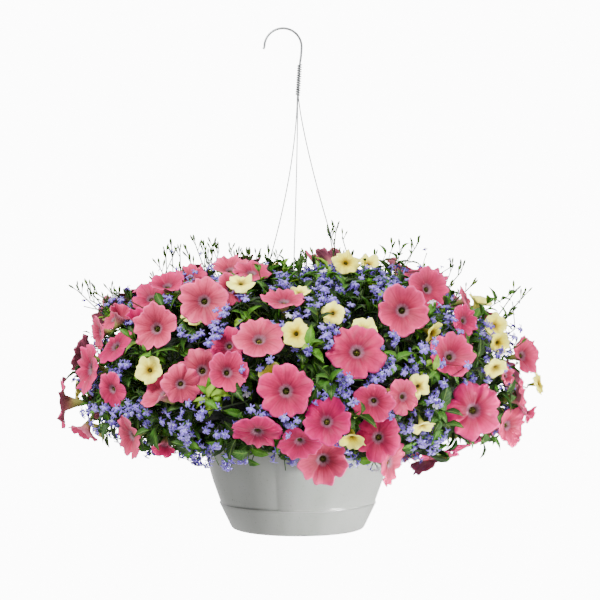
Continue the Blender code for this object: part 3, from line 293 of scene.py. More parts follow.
potting_mix, tree, shader = finish_of("damp_potting_mix", 0.95)
coordinates = add(tree, "ShaderNodeTexCoord").outputs["Object"]
crumbs = add(tree, "ShaderNodeTexNoise", {"Vector": coordinates, "Scale": 220.0, "Detail": 6.0}).outputs[0]
earth = ramp(tree, crumbs, [(0.3, "#120C08"), (0.55, "#2E2016"), (0.75, "#5A4632")])
tree.links.new(earth, shader.inputs["Base Color"])
bump = add(tree, "ShaderNodeBump", {"Height": crumbs, "Strength": 1.0, "Distance": 0.004})
tree.links.new(bump.outputs[0], shader.inputs["Normal"])
print("materials:", len(bpy.data.materials))


# %% [markdown]
# Two Geometry Nodes trees make all that repeats. The first takes a cloud of points, each with a turn, a
# size and a tint, and puts a copy of one small form on each. The second takes paths, each point with a
# thickness, and sweeps a round section along them: that makes wires, stalks and stems alike.

# %% Geometry Nodes: copies on points, and rods along paths
def new_tree(name, sockets):
    made = bpy.data.node_groups.new(name, "GeometryNodeTree")
    made.interface.new_socket("Geometry", in_out="INPUT", socket_type="NodeSocketGeometry")
    made.interface.new_socket("Geometry", in_out="OUTPUT", socket_type="NodeSocketGeometry")
    for label, kind in sockets:
        made.interface.new_socket(label, in_out="INPUT", socket_type=kind)
    return made


def named(tree, name, kind):
    return add(tree, "GeometryNodeInputNamedAttribute", {"Name": name}, data_type=kind).outputs["Attribute"]


def copies_tree():
    tree = new_tree("copies_on_points", [
        ("Form", "NodeSocketObject"), ("Scale", "NodeSocketFloat"), ("Finish", "NodeSocketMaterial"),
    ])
    inputs = add(tree, "NodeGroupInput").outputs
    form = add(tree, "GeometryNodeObjectInfo", {"Object": inputs["Form"]}).outputs["Geometry"]
    points = add(tree, "GeometryNodeMeshToPoints", {"Mesh": inputs["Geometry"]}).outputs[0]
    turn = add(tree, "FunctionNodeEulerToRotation", {0: named(tree, "turn", "FLOAT_VECTOR")}).outputs[0]
    size = add(tree, "ShaderNodeMath", {0: named(tree, "size", "FLOAT"), 1: inputs["Scale"]}, operation="MULTIPLY")
    copies = add(tree, "GeometryNodeInstanceOnPoints", {
        "Points": points, "Instance": form, "Rotation": turn, "Scale": size.outputs[0],
    }).outputs[0]
    real = add(tree, "GeometryNodeRealizeInstances", {0: copies}).outputs[0]
    dressed = add(tree, "GeometryNodeSetMaterial", {"Geometry": real, "Material": inputs["Finish"]}).outputs[0]
    add(tree, "NodeGroupOutput", {0: dressed})
    return tree


def rods_tree():
    tree = new_tree("rods_along_paths", [
        ("Sides", "NodeSocketInt"), ("Scale", "NodeSocketFloat"), ("Finish", "NodeSocketMaterial"),
    ])
    inputs = add(tree, "NodeGroupInput").outputs
    line = add(tree, "GeometryNodeMeshToCurve", {"Mesh": inputs["Geometry"]}).outputs[0]
    thick = add(tree, "ShaderNodeMath", {
        0: named(tree, "thickness", "FLOAT"), 1: inputs["Scale"],
    }, operation="MULTIPLY")
    ring = add(tree, "GeometryNodeCurvePrimitiveCircle", {"Resolution": inputs["Sides"], "Radius": 1.0}).outputs[0]
    rod = add(tree, "GeometryNodeCurveToMesh", {
        "Curve": line, "Profile Curve": ring, "Scale": thick.outputs[0], "Fill Caps": True,
    }).outputs[0]
    smooth = add(tree, "GeometryNodeSetShadeSmooth", {"Geometry": rod}).outputs[0]
    real = add(tree, "GeometryNodeRealizeInstances", {0: smooth}).outputs[0]
    dressed = add(tree, "GeometryNodeSetMaterial", {"Geometry": real, "Material": inputs["Finish"]}).outputs[0]
    add(tree, "NodeGroupOutput", {0: dressed})
    return tree


COPIES = copies_tree()
RODS = rods_tree()


def piece_of(name, mesh, finish=None):
    """A finished piece at the origin, which rides on the part's one body."""
    made = bpy.data.objects.new(name, mesh)
    bpy.context.scene.collection.objects.link(made)
    if finish:
        mesh.materials.clear()
        mesh.materials.append(finish)
    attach(made, "root")
    return made


def grown(name, mesh, tree, values):
    """The plain mesh that a tree makes of a mesh, with its inputs set by name."""
    carrier = bpy.data.objects.new(name, mesh)
    bpy.context.scene.collection.objects.link(carrier)
    modifier = carrier.modifiers.new("grow", "NODES")
    modifier.node_group = tree
    for item in tree.interface.items_tree:
        if item.item_type == "SOCKET" and item.name in values:
            modifier[item.identifier] = values[item.name]
    graph = bpy.context.evaluated_depsgraph_get()
    result = bpy.data.meshes.new_from_object(carrier.evaluated_get(graph))
    bpy.data.objects.remove(carrier)
    print(name, "triangles:", sum(len(face.vertices) - 2 for face in result.polygons))
    return result


def rods(name, paths, finish, sides=6, scale=1.0):
    """Rods along paths, each a list of points with a thickness, and a tint for the whole path."""
    points = []
    edges = []
    thickness = []
    tints = []
    for path, tint in paths:
        for index, (point, radius) in enumerate(path):
            if index:
                edges.append((len(points) - 1, len(points)))
            points.append(point)
            thickness.append(radius)
            tints.append(tint)
    mesh = bpy.data.meshes.new(name)
    mesh.from_pydata(points, edges, [])
    mesh.attributes.new("thickness", "FLOAT", "POINT").data.foreach_set("value", thickness)
    mesh.attributes.new("tint", "FLOAT", "POINT").data.foreach_set("value", tints)
    return grown(name, mesh, RODS, {"Sides": sides, "Scale": scale, "Finish": finish})


def copies(name, places, form, finish, scale=1.0):
    """Copies of a form, each at a matrix with a size and a tint."""
    mesh = bpy.data.meshes.new(name)
    mesh.from_pydata([place.translation for place, _, _ in places], [], [])
    turns = [angle for place, _, _ in places for angle in place.to_euler()]
    mesh.attributes.new("turn", "FLOAT_VECTOR", "POINT").data.foreach_set("vector", turns)
    mesh.attributes.new("size", "FLOAT", "POINT").data.foreach_set("value", [size for _, size, _ in places])
    mesh.attributes.new("tint", "FLOAT", "POINT").data.foreach_set("value", [tint for _, _, tint in places])
    return grown(name, mesh, COPIES, {"Form": form, "Scale": scale, "Finish": finish})


# %% [markdown]
# The pot and saucer are turned shapes: a profile swept round the axis. The CAD has 24 flat sides, so the
# profile is swept again here with 120 and small rounded corners, at the same sizes. A fine bead runs
# round the wall just above the seam where the saucer clips on.

# %% Pot and saucer
TURN_SIDES = 120
POT_WALL = (
    (0, 10), (89, 10), (90.5, 10.4), (103.1, 35.6), (103.9, 36.3), (112.6, 36.3), (113.2, 36.9), (113.2, 38.2),
    (112.6, 38.8), (112.3, 39.4), (112.6, 41.2), (123.3, 71), (136.5, 118), (144.2, 162.6), (145.2, 163.5),
    (150.2, 163.5), (151, 162.8), (151, 155.6), (151.6, 155), (152.4, 155), (153, 155.6), (153, 165),
    (152.2, 166), (143.2, 166), (142.2, 165.2), (134.2, 118), (120.9, 71), (109.8, 38.5), (101, 38.5),
    (88.5, 12.2), (0, 12.2),
)
SAUCER_WALL = (
    (0, 0), (89, 0), (91.6, 0.3), (94.6, 1.4), (96.8, 4), (112.2, 35.4), (112.4, 36), (111.8, 36), (110, 36),
    (94.6, 4.6), (92, 2.4), (0, 2.4),
)


def turned(name, profile, sides, finish):
    """A piece of one profile, in millimetres, turned round the axis. The last corner is turned too."""
    bm = bmesh.new()
    rows = []
    for radius, height in profile:
        if radius == 0:
            rows.append([bm.verts.new((0, 0, height * MM))])
            continue
        angles = [2 * math.pi * i / sides for i in range(sides)]
        rows.append([bm.verts.new((radius * MM * math.cos(a), radius * MM * math.sin(a), height * MM)) for a in angles])
    for low, high in zip(rows, rows[1:]):
        for i in range(sides):
            corners = [low[i % len(low)], low[(i + 1) % len(low)], high[(i + 1) % len(high)], high[i % len(high)]]
            bm.faces.new(list(dict.fromkeys(corners)))
    bmesh.ops.recalc_face_normals(bm, faces=bm.faces)
    if bm.calc_volume(signed=True) < 0:
        bmesh.ops.reverse_faces(bm, faces=bm.faces)
    for edge in bm.edges:
        edge.smooth = len(edge.link_faces) == 2 and edge.calc_face_angle() < math.radians(40)
    for face in bm.faces:
        face.smooth = True
    mesh = bpy.data.meshes.new(name)
    bm.to_mesh(mesh)
    bm.free()
    return piece_of(name, mesh, finish)


pot = turned("pot_shell", POT_WALL, TURN_SIDES, pot_plastic)
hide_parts("pot")
saucer = turned("saucer_shell", SAUCER_WALL, TURN_SIDES, pot_plastic)
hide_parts("saucer")
nodes["soil"].data.materials.clear()
nodes["soil"].data.materials.append(potting_mix)
print("pot", [round(v, 3) for v in pot.dimensions])

# %% [markdown]
# The hanger is bent from wire: a J-hook of 3.4 mm, and three wires of 1.7 mm that the real maker wraps
# round the hook's shank with a thinner one. The wires leave the binding close together and swing out to
# the rim, each by its own power curve, as they do in the photograph.

# %% Hanger
WIRE_RING = 148.2 * MM
WIRE_RADIUS = 0.85 * MM
WIRE_FOOT = 176 * MM
WIRE_SPREAD = 624 * MM
WIRE_TOP = 649.3 * MM
WIRE_TOP_OUT = 1.13 * MM
WIRE_BEND = 2.2 * MM
WIRE_BEND_HEIGHT = 160.4 * MM
FLANGE_UNDER = 163.2 * MM
WIRES = {
    "hanger_wire_front": (-95.1, 1.45),
    "hanger_wire_left": (144.9, 1.7),
    "hanger_wire_right": (24.9, 1.28),
}
BINDING_LOW = 627 * MM
BINDING_HIGH = 671 * MM
BINDING_LEAN = 2.9 * MM
BINDING_TURNS = 13
BINDING_OUT = 2.87 * MM
BINDING_RADIUS = 0.88 * MM
HOOK_RADIUS = 1.7 * MM
HOOK_ARC = 27 * MM
HOOK_CENTRE = Vector((-21.5, 0, 697)) * MM
HOOK_TIP = Vector((-50.1, 0, 694)) * MM
SHANK_BEND = Vector((4.7, 0, 684)) * MM


def around(angle, radius, height):
    """A point at an angle in degrees round the pot's axis."""
    return Vector((radius * math.cos(math.radians(angle)), radius * math.sin(math.radians(angle)), height))


def binding_axis(height):
    share = max(0, (height - BINDING_LOW) / (BINDING_HIGH - BINDING_LOW))
    return Vector((BINDING_LEAN * share, 0, height))


def smooth_route(points, step):
    """Points about a step apart on a smooth curve through the given ones."""
    ends = [points[0] * 2 - points[1], *points, points[-1] * 2 - points[-2]]
    route = []
    for a, b, c, d in zip(ends, ends[1:], ends[2:], ends[3:]):
        pieces = max(1, round((c - b).length / step))
        for piece in range(pieces):
            t = piece / pieces
            curve = (2 * a - 5 * b + 4 * c - d) * t * t + (3 * b - a - 3 * c + d) * t ** 3
            route.append(0.5 * (2 * b + (c - a) * t + curve))
    return route + [points[-1]]


def even(points, radius):
    return [(point, radius) for point in points]


hook_points = [HOOK_TIP]
for angle in range(180, -1, -10):
    turn = math.radians(angle)
    hook_points.append(HOOK_CENTRE + Vector((math.cos(turn), 0, math.sin(turn))) * HOOK_ARC)
hook_points += [SHANK_BEND, binding_axis(BINDING_HIGH), binding_axis(WIRE_TOP)]
hook_mesh = rods("hook", [(even(smooth_route(hook_points, 2 * MM), HOOK_RADIUS), 0)], galvanised, 14)
hook = piece_of("hook_wire", hook_mesh)
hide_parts("hanger_hook")

coil = []
COIL_STEPS = 14
for step in range(BINDING_TURNS * COIL_STEPS + 1):
    height = BINDING_LOW + (BINDING_HIGH - BINDING_LOW) * step / (BINDING_TURNS * COIL_STEPS)
    coil.append(binding_axis(height) + around(step * 360 / COIL_STEPS, BINDING_OUT, 0))
binding = piece_of("binding_coil", rods("binding", [(even(coil, BINDING_RADIUS), 0)], galvanised, 8))
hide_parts("hanger_binding")

for name, (angle, power) in WIRES.items():
    points = [binding_axis(WIRE_TOP) + around(angle, WIRE_TOP_OUT, 0)]
    for step in range(41):
        share = step / 40
        height = WIRE_SPREAD + (WIRE_FOOT - WIRE_SPREAD) * share
        points.append(around(angle, WIRE_TOP_OUT + (WIRE_RING - WIRE_TOP_OUT) * share ** power, height))
    side = around(angle + 90, 1, 0)
    low = around(angle, WIRE_RING, WIRE_BEND_HEIGHT)
    for turn in range(180, 361, 20):
        swing = UP * math.sin(math.radians(turn)) + side * (1 + math.cos(math.radians(turn)))
        points.append(low + swing * WIRE_BEND)
    end = points[-1].copy()
    end.z = FLANGE_UNDER
    points.append(end)
    wire = piece_of(name + "_bent", rods(name, [(even(points, WIRE_RADIUS), 0)], galvanised, 8))
    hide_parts(name)


# %% [markdown]
# The CAD stores each bloom as a few corners. The bottom of a throat is the only corner with exactly five
# neighbours that form a regular pentagon, and a lobelia floret's middle has six at two alternate
# distances. Finding those patterns gives each bloom's place, size and direction.

# %% Read the blooms out of the frame
PETUNIA_THROAT = 0.20
FURLED_THROAT = 0.28
CALIBRACHOA_THROAT = 0.22
FURLED_DEPTH = 1.4


def joined(name):
    """A copy of a CAD node as a bmesh with its loose triangles merged."""
    bm = bmesh.new()
    bm.from_mesh(nodes[name].data)
    bmesh.ops.remove_doubles(bm, verts=bm.verts, dist=0.000004)
    return bm


def neighbours(vert):
    return [edge.other_vert(vert) for edge in vert.link_edges]


def mean(points):
    return sum(points, Vector()) / len(points)


def spread(values):
    return (max(values) - min(values)) / max(values)


def read_trumpets(bm, wide_throat):
    """The blooms of a spray. Each owns the corners within four rings of the bottom of its throat."""
    found = []
    for pit in bm.verts:
        ring = neighbours(pit)
        if len(ring) != 5 or spread([(v.co - pit.co).length for v in ring]) > 0.02:
            continue
        centre = mean([v.co for v in ring])
        radii = [(v.co - centre).length for v in ring]
        axis = (centre - pit.co).normalized()
        if spread(radii) > 0.02 or max(abs((v.co - centre).normalized().dot(axis)) for v in ring) > 0.03:
            continue
        owned = {pit}
        for _ in range(4):
            owned |= {other for v in owned for other in neighbours(v)}
        furled = (centre - pit.co).length / radii[0] < FURLED_DEPTH
        small = wide_throat == CALIBRACHOA_THROAT
        radius = radii[0] / (FURLED_THROAT if furled else wide_throat)
        drop = 0.70 if furled else 0.14 if small else 0.21
        tube = 1.7 if furled else 1.2 if small else 1.14
        found.append({
            "centre": centre + axis * drop * radius, "axis": axis, "radius": radius, "furled": furled,
            "notch": (ring[0].co - centre).normalized(), "tube": tube, "owned": owned,
        })
    return found


def read_fork(bm, blooms):
    """A spray's fork and its foot: the six and the three corners that no bloom owns."""
    owned = set().union(*[bloom["owned"] for bloom in blooms])
    left = [v.co.copy() for v in bm.verts if v not in owned]
    first = left[0]
    last = max(left, key=lambda point: (point - first).length)
    near = [point for point in left if (point - first).length < (point - last).length]
    far = [point for point in left if (point - first).length >= (point - last).length]
    knot, foot = (near, far) if len(near) > len(far) else (far, near)
    return mean(knot), mean(foot)


petunias = []
yellows = []
sprays = []
for name in sorted(nodes):
    if name.startswith("petunia_spray") or name.startswith("calibrachoa_spray"):
        bm = joined(name)
        pink = name.startswith("petunia")
        blooms = read_trumpets(bm, PETUNIA_THROAT if pink else CALIBRACHOA_THROAT)
        fork, foot = read_fork(bm, blooms)
        for bloom in blooms:
            bloom.pop("owned")
        sprays.append((pink, blooms, fork, foot))
        (petunias if pink else yellows).extend(blooms)
        bm.free()
print("petunias", len(petunias), "calibrachoas", len(yellows), "sprays", len(sprays))


def read_florets(bm):
    """The florets of a lobelia spray, whose corners are then taken off its stems."""
    found = []
    gone = []
    for middle in bm.verts:
        ring = neighbours(middle)
        if len(ring) != 6:
            continue
        ring.sort(key=lambda v: (v.co - middle.co).length)
        near, far = ring[:3], ring[3:]
        if spread([(v.co - middle.co).length for v in near]) > 0.02:
            continue
        if spread([(v.co - middle.co).length for v in far]) > 0.02:
            continue
        axis = (mean([v.co for v in near]) - mean([v.co for v in far])).normalized()
        across = 2 * (far[0].co - mean([v.co for v in far])).length
        found.append((middle.co + axis * 1.5 * MM, axis, across))
        gone += [middle, *ring]
    bmesh.ops.delete(bm, geom=list(set(gone)), context="VERTS")
    bmesh.ops.holes_fill(bm, edges=[edge for edge in bm.edges if edge.is_boundary], sides=0)
    return found


florets = []
stem_bm = bmesh.new()
for name in sorted(nodes):
    if name.startswith("lobelia_spray"):
        bm = joined(name)
        florets += read_florets(bm)
        part = bpy.data.meshes.new(name)
        bm.to_mesh(part)
        bm.free()
        stem_bm.from_mesh(part)
print("florets in the frame", len(florets), "stem corners", len(stem_bm.verts))

# %% [markdown]
# A trumpet bloom is one skin. It starts at the bottom of the throat, rises to the mouth, spreads into five
# lobes, turns over at the edge and comes back half a millimetre behind, then narrows into the tube. So it
# is built as rings from front to back. Waves with several crests round the edge make each bloom ruffle in
# its own way, and they fade to nothing at the mouth.

# %% Grow the petunias and calibrachoas
PETUNIA = {
    "around": 60, "notch": 0.17, "tip": 0.035, "mouth": 0.15, "depth": 0.24, "power": 2.2, "arch": (-0.08, 0.18),
    "ruffles": ((7, 0.038), (11, 0.042), (17, 0.026)),
    "throat": ((0.05, -0.50, -0.9), (0.10, -0.42, -0.55), (0.135, -0.30, -0.15)),
    "tube": ((0.24, -0.41, 2.15), (0.165, -0.60, 2.4), (0.11, -0.86, 2.7)),
}
FURLED = {
    "around": 30, "notch": 0.24, "tip": 0.06, "mouth": 0.20, "depth": 0.70, "power": 1.1, "arch": (-0.05, 0.10),
    "ruffles": ((5, 0.06), (7, 0.05), (9, 0.04)),
    "throat": ((0.05, -0.98, -0.9), (0.12, -0.85, -0.4)),
    "tube": ((0.27, -0.95, 2.2), (0.17, -1.25, 2.6)),
}
CALIBRACHOA = {
    "around": 40, "notch": 0.15, "tip": 0.02, "mouth": 0.17, "depth": 0.24, "power": 1.8, "arch": (-0.08, 0.16),
    "ruffles": ((5, 0.07), (8, 0.055), (12, 0.035)),
    "throat": ((0.05, -0.60, -0.9), (0.12, -0.42, -0.4)),
    "tube": ((0.25, -0.44, 2.15), (0.17, -0.66, 2.45), (0.12, -0.9, 2.75)),
}
# How far a bloom's lobes bend forwards, and how much of its width is left: flat, folded back or cupped
MOODS = (((-0.12, 0.08), 1.0), ((-0.20, 0.02), 1.0), ((-0.38, -0.10), 0.98), ((0.04, 0.26), 0.94))
FRONT = (0, 0.1, 0.24, 0.42, 0.6, 0.78, 0.92, 1)
BACK = (0.985, 0.8, 0.5, 0.2)
PETAL = 0.45 * MM
TUBE_TIP = 1.6 * MM


def facing(point, axis, side):
    """The placing that puts +Z along an axis at a point, and +X as near as it can along a side."""
    x = (side - axis * side.dot(axis)).normalized()
    turn = Matrix((x, axis.cross(x), axis)).transposed()
    return Matrix.Translation(point) @ turn.to_4x4()


def bloom_rings(bloom, form):
    """Each ring of a bloom, in radii, with its height on the petal map."""
    count = form["around"]
    waves = [(crests, size * rng.uniform(0.5, 1.5), rng.uniform(0, 6.3)) for crests, size in form["ruffles"]]
    bends, width = rng.choice(MOODS)
    lobes = [(rng.uniform(-0.07, 0.03), rng.uniform(*bends), rng.uniform(*form["arch"])) for _ in range(5)]
    skin = PETAL / bloom["radius"]

    def limb(share, behind):
        points = []
        for i in range(count):
            turn = 2 * math.pi * i / count
            lobe = int(5 * i / count)
            off = 10 * i / count - 2 * lobe - 1
            notch = abs(off)
            other = lobes[(lobe + (1 if off > 0 else -1)) % 5]
            length, bend, arch = [a + (b - a) * notch ** 2 / 2 for a, b in zip(lobes[lobe], other)]
            ruffle = sum(size * math.sin(crests * turn + start) for crests, size, start in waves)
            edge = (1 + length) * (1 - form["notch"] * notch ** 5) + form["tip"] * max(0, 1 - notch * 3)
            edge = (edge + ruffle * 0.7) * width
            out = form["mouth"] + (edge - form["mouth"]) * share
            rise = bend * share ** 2 + arch * (notch ** 2 - 0.35) * share ** 1.5 + ruffle * share ** 2.4
            valley = 0.08 * math.exp(-((1 - notch) / 0.15) ** 2) * math.sin(math.pi * share ** 0.8)
            up = rise - valley - form["depth"] * (1 - share) ** form["power"] - behind
            points.append((out * math.cos(turn), out * math.sin(turn), up))
        return points

    def plain(out, up):
        return [(out * math.cos(2 * math.pi * i / count), out * math.sin(2 * math.pi * i / count), up)
                for i in range(count)]

    rings = [(plain(out, up), v) for out, up, v in form["throat"]]
    rings += [(limb(share, 0), share) for share in FRONT]
    rings += [(limb(share, skin * (1 + (1 - share) * 2)), 2 - share) for share in BACK]
    rings += [(plain(out, up), v) for out, up, v in form["tube"]]
    rings.append((plain(TUBE_TIP / bloom["radius"], -bloom["tube"]), 3))
    return rings


def grow_bloom(bm, layers, bloom, form):
    """One closed bloom, added to a bmesh with its petal map and its tint."""
    petal_map, tints = layers
    tint = rng.random()
    place = facing(bloom["centre"], bloom["axis"], bloom["notch"]) @ Matrix.Scale(bloom["radius"], 4)
    count = form["around"]
    rows = []
    for points, v in bloom_rings(bloom, form):
        rows.append(([bm.verts.new(place @ Vector(point)) for point in points], v))
    ends = []
    for height in (form["throat"][0][1] - 0.05, -bloom["tube"] - 0.02):
        ends.append(bm.verts.new(place @ Vector((0, 0, height))))
    for row, _ in rows:
        for vert in row:
            vert[tints] = tint
    for vert in ends:
        vert[tints] = tint
    for i in range(count):
        j = (i + 1) % count
        u = 5 * i / count
        v = 5 * (i + 1) / count
        for (low, low_v), (high, high_v) in zip(rows, rows[1:]):
            face = bm.faces.new((low[i], low[j], high[j], high[i]))
            for loop, spot in zip(face.loops, ((u, low_v), (v, low_v), (v, high_v), (u, high_v))):
                loop[petal_map].uv = spot
        for end, (row, row_v) in zip(ends, (rows[0], rows[-1])):
            face = bm.faces.new((row[i], row[j], end))
            for loop, spot in zip(face.loops, ((u, row_v), (v, row_v), (u, row_v))):
                loop[petal_map].uv = spot


def blooms_piece(name, blooms, form, finish, replaced):
    """One piece with all the blooms of a kind."""
    bm = bmesh.new()
    layers = (bm.loops.layers.uv.new("petal"), bm.verts.layers.float.new("tint"))
    for bloom in blooms:
        grow_bloom(bm, layers, bloom, FURLED if bloom["furled"] else form)
    bmesh.ops.recalc_face_normals(bm, faces=bm.faces)
    for face in bm.faces:
        face.smooth = True
    mesh = bpy.data.meshes.new(name)
    bm.to_mesh(mesh)
    bm.free()
    made = piece_of(name, mesh, finish)
    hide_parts(*[node for node in sorted(nodes) if node.startswith(replaced)])
    print(name, len(blooms), "blooms", sum(len(face.vertices) - 2 for face in mesh.polygons), "triangles")
    return made


pink_piece = blooms_piece("petunia_blooms", petunias, PETUNIA, petunia_petals, "petunia_spray")
yellow_piece = blooms_piece(
    "calibrachoa_blooms", yellows, CALIBRACHOA, calibrachoa_petals, "calibrachoa_spray"
)
corners = []
polygons = []
for thing in (pink_piece, yellow_piece):
    first = len(corners)
    corners += [vert.co.copy() for vert in thing.data.vertices]
    polygons += [[first + index for index in face.vertices] for face in thing.data.polygons]
bloom_tree = BVHTree.FromPolygons(corners, polygons)

# %% [markdown]
# All the flowers reach out to one dome, wider than it is high, which is a superellipse turned round the axis.
# The inner stems and leaves are a smaller lumpy dome inside it, painted near black as shade. These are the
# same rules and sizes as the CAD's, so what is placed by them sits where the CAD's foliage is.

# %% Dome and inner mass
DOME_MIDDLE = 200 * MM
DOME_REACH = 322 * MM
DOME_RISE = 184 * MM
DOME_FALL = 114 * MM
DOME_POWER = 2.5
CORE_REACH = 252 * MM
CORE_RISE = 116 * MM
CORE_FALL = 64 * MM
CORE_INSIDE = ((170, 143), (164, 184), (128, 184), (121, 158), (0, 158))
PER_PIXEL = 1.45 * MM
POT_COLUMN = 297.8
LEVEL_ROW = 300


def dome_level(point, lift=0.0):
    """1 on the dome grown by lift, less inside it."""
    up = point.z - DOME_MIDDLE
    across = math.hypot(point.x, point.y) / (DOME_REACH + lift)
    along = abs(up) / ((DOME_RISE if up > 0 else DOME_FALL) + lift)
    return (across ** DOME_POWER + along ** DOME_POWER) ** (1 / DOME_POWER)


def dome_normal(point):
    slope = [
        dome_level(point + Vector(axis) * MM) - dome_level(point - Vector(axis) * MM)
        for axis in ((1, 0, 0), (0, 1, 0), (0, 0, 1))
    ]
    return Vector(slope).normalized()


def on_sightline(column, row, lift=0.0):
    """Where the sightline through a pixel of the photograph meets the dome, or passes nearest to it."""
    seen = Vector(((column - POT_COLUMN) * PER_PIXEL, 0, CAMERA.z + (LEVEL_ROW - row) * PER_PIXEL))
    ray = (seen - CAMERA).normalized()
    nearest = None
    for step in range(230):
        point = CAMERA + ray * (1950 + step * 2) * MM
        level = dome_level(point, lift)
        if level <= 1:
            return point
        if nearest is None or level < nearest[0]:
            nearest = (level, point)
    return nearest[1]


def on_dome(angle, rise, lift=0.0):
    """The dome's point at an angle round it and a slope from its middle, both in degrees."""
    ray = around(angle, math.cos(math.radians(rise)), math.sin(math.radians(rise)))
    middle = Vector((0, 0, DOME_MIDDLE))
    return middle + ray / dome_level(middle + ray, lift)


core_profile = []
for step in range(26):
    slope = math.radians(90 - step * 6.1)
    rise = CORE_RISE if slope > 0 else CORE_FALL
    out = CORE_REACH / MM * abs(math.cos(slope)) ** 0.8
    up = DOME_MIDDLE / MM + rise / MM * math.copysign(abs(math.sin(slope)) ** 0.8, math.sin(slope))
    if slope > 0 or out > CORE_INSIDE[0][0] + 7:
        core_profile.append((0 if step == 0 else out, up))
core = turned("inner_foliage", core_profile + list(CORE_INSIDE), 72, painted_shade_green)
for vert in core.data.vertices:
    if math.hypot(*vert.co.xy) > 0.19 or vert.co.z > 0.25:
        vert.co += dome_normal(vert.co) * noise.noise(vert.co * 14) * 13 * MM
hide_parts("foliage")
core_tree = BVHTree.FromPolygons(
    [vert.co for vert in core.data.vertices], [tuple(face.vertices) for face in core.data.polygons]
)

# %% [markdown]
# Leaves are needed by the thousand, so each form is small: five stations along the blade, each with its two
# edges, the rib on top and one corner below. That is 24 triangles, closed, thin at the edges and folded at
# the rib. Two forms cover the three plants, and a third is the sepal behind a petunia.

# %% Leaf, floret and bud forms
def leaf_form(name, widths, width, droop, fold):
    """A blade along +X of length 1, with attributes along and across for its veins."""
    bm = bmesh.new()
    along = bm.verts.layers.float.new("along")
    across = bm.verts.layers.float.new("across")

    def corner(x, y, z):
        made = bm.verts.new((x, y * width / 2, z - droop * x * x + 0.10 * math.sin(math.pi * x)))
        made[along] = x
        made[across] = y
        return made

    start = corner(0, 0, 0)
    end = corner(1, 0, 0)
    rows = [
        [corner(x, w, fold * w), corner(x, 0, 0), corner(x, -w, fold * w), corner(x, 0, -0.03)] for x, w in widths
    ]
    for low, high in zip(rows, rows[1:]):
        for i in range(4):
            bm.faces.new((low[i], low[(i + 1) % 4], high[(i + 1) % 4], high[i]))
    for i in range(4):
        bm.faces.new((start, rows[0][(i + 1) % 4], rows[0][i]))
        bm.faces.new((end, rows[-1][i], rows[-1][(i + 1) % 4]))
    return form_of(name, bm)


def form_of(name, bm):
    bmesh.ops.recalc_face_normals(bm, faces=bm.faces)
    for face in bm.faces:
        face.smooth = True
    mesh = bpy.data.meshes.new(name)
    bm.to_mesh(mesh)
    bm.free()
    return bpy.data.objects.new(name, mesh)


broad_leaf = leaf_form("broad_leaf", ((0.12, 0.45), (0.4, 1.0), (0.72, 0.75)), 0.44, 0.20, 0.10)
slim_leaf = leaf_form("slim_leaf", ((0.15, 0.6), (0.5, 1.0), (0.8, 0.6)), 0.24, 0.12, 0.05)
sepal = leaf_form("sepal", ((0.2, 0.8), (0.6, 1.0), (0.85, 0.7)), 0.22, 0.05, 0.04)


def floret_form():
    """A floret that faces +Z, 1 across: three broad lower lobes, two slim upper ones and a short tube."""
    bm = bmesh.new()
    along = bm.verts.layers.float.new("along")
    lobes = [(-90, 0.50, 0.19), (-28, 0.48, 0.17), (-152, 0.48, 0.17), (62, 0.42, 0.075), (118, 0.42, 0.075)]
    for angle, length, half in lobes:
        turn = Matrix.Rotation(math.radians(angle), 4, "Z")
        outline = ((0.0, 0.3, 0), (0.55, 0.85, -0.01), (0.93, 0.75, -0.05), (0.93, -0.75, -0.05),
                   (0.55, -0.85, -0.01), (0.0, -0.3, 0))

        def corner(x, y, z):
            made = bm.verts.new(turn @ Vector((x * length, y * half, z)))
            made[along] = x
            return made

        row = [corner(*spot) for spot in outline]
        for middle, order in ((corner(0.6, 0, 0.02), 1), (corner(0.6, 0, -0.04), -1)):
            for i in range(len(row)):
                bm.faces.new([row[i], row[(i + 1) % len(row)], middle][::order])
    rows = []
    for size, z in ((0.10, 0.01), (0.04, -0.5)):
        row = []
        for i in range(5):
            spot = Vector((math.cos(i * 1.2566), math.sin(i * 1.2566), 0)) * size
            made = bm.verts.new(spot + Vector((0, 0, z)))
            made[along] = 0.3 - z
            row.append(made)
        rows.append(row)
    for low, high in zip(rows, rows[1:]):
        for i in range(5):
            bm.faces.new((low[i], low[(i + 1) % 5], high[(i + 1) % 5], high[i]))
    bm.faces.new(rows[0])
    bm.faces.new(rows[-1][::-1])
    return form_of("floret", bm)


floret = floret_form()


def bud_form():
    """A slim pointed bud along +Z, 1 long."""
    bm = bmesh.new()
    rows = []
    for size, z in ((0.06, 0), (0.13, 0.3), (0.15, 0.6), (0.08, 0.88)):
        rows.append([bm.verts.new((size * math.cos(i * 1.2566), size * math.sin(i * 1.2566), z)) for i in range(5)])
    for low, high in zip(rows, rows[1:]):
        for i in range(5):
            bm.faces.new((low[i], low[(i + 1) % 5], high[(i + 1) % 5], high[i]))
    bm.faces.new(rows[0][::-1])
    tip = bm.verts.new((0, 0, 1))
    for i in range(5):
        bm.faces.new((rows[-1][i], rows[-1][(i + 1) % 5], tip))
    return form_of("bud", bm)


bud = bud_form()


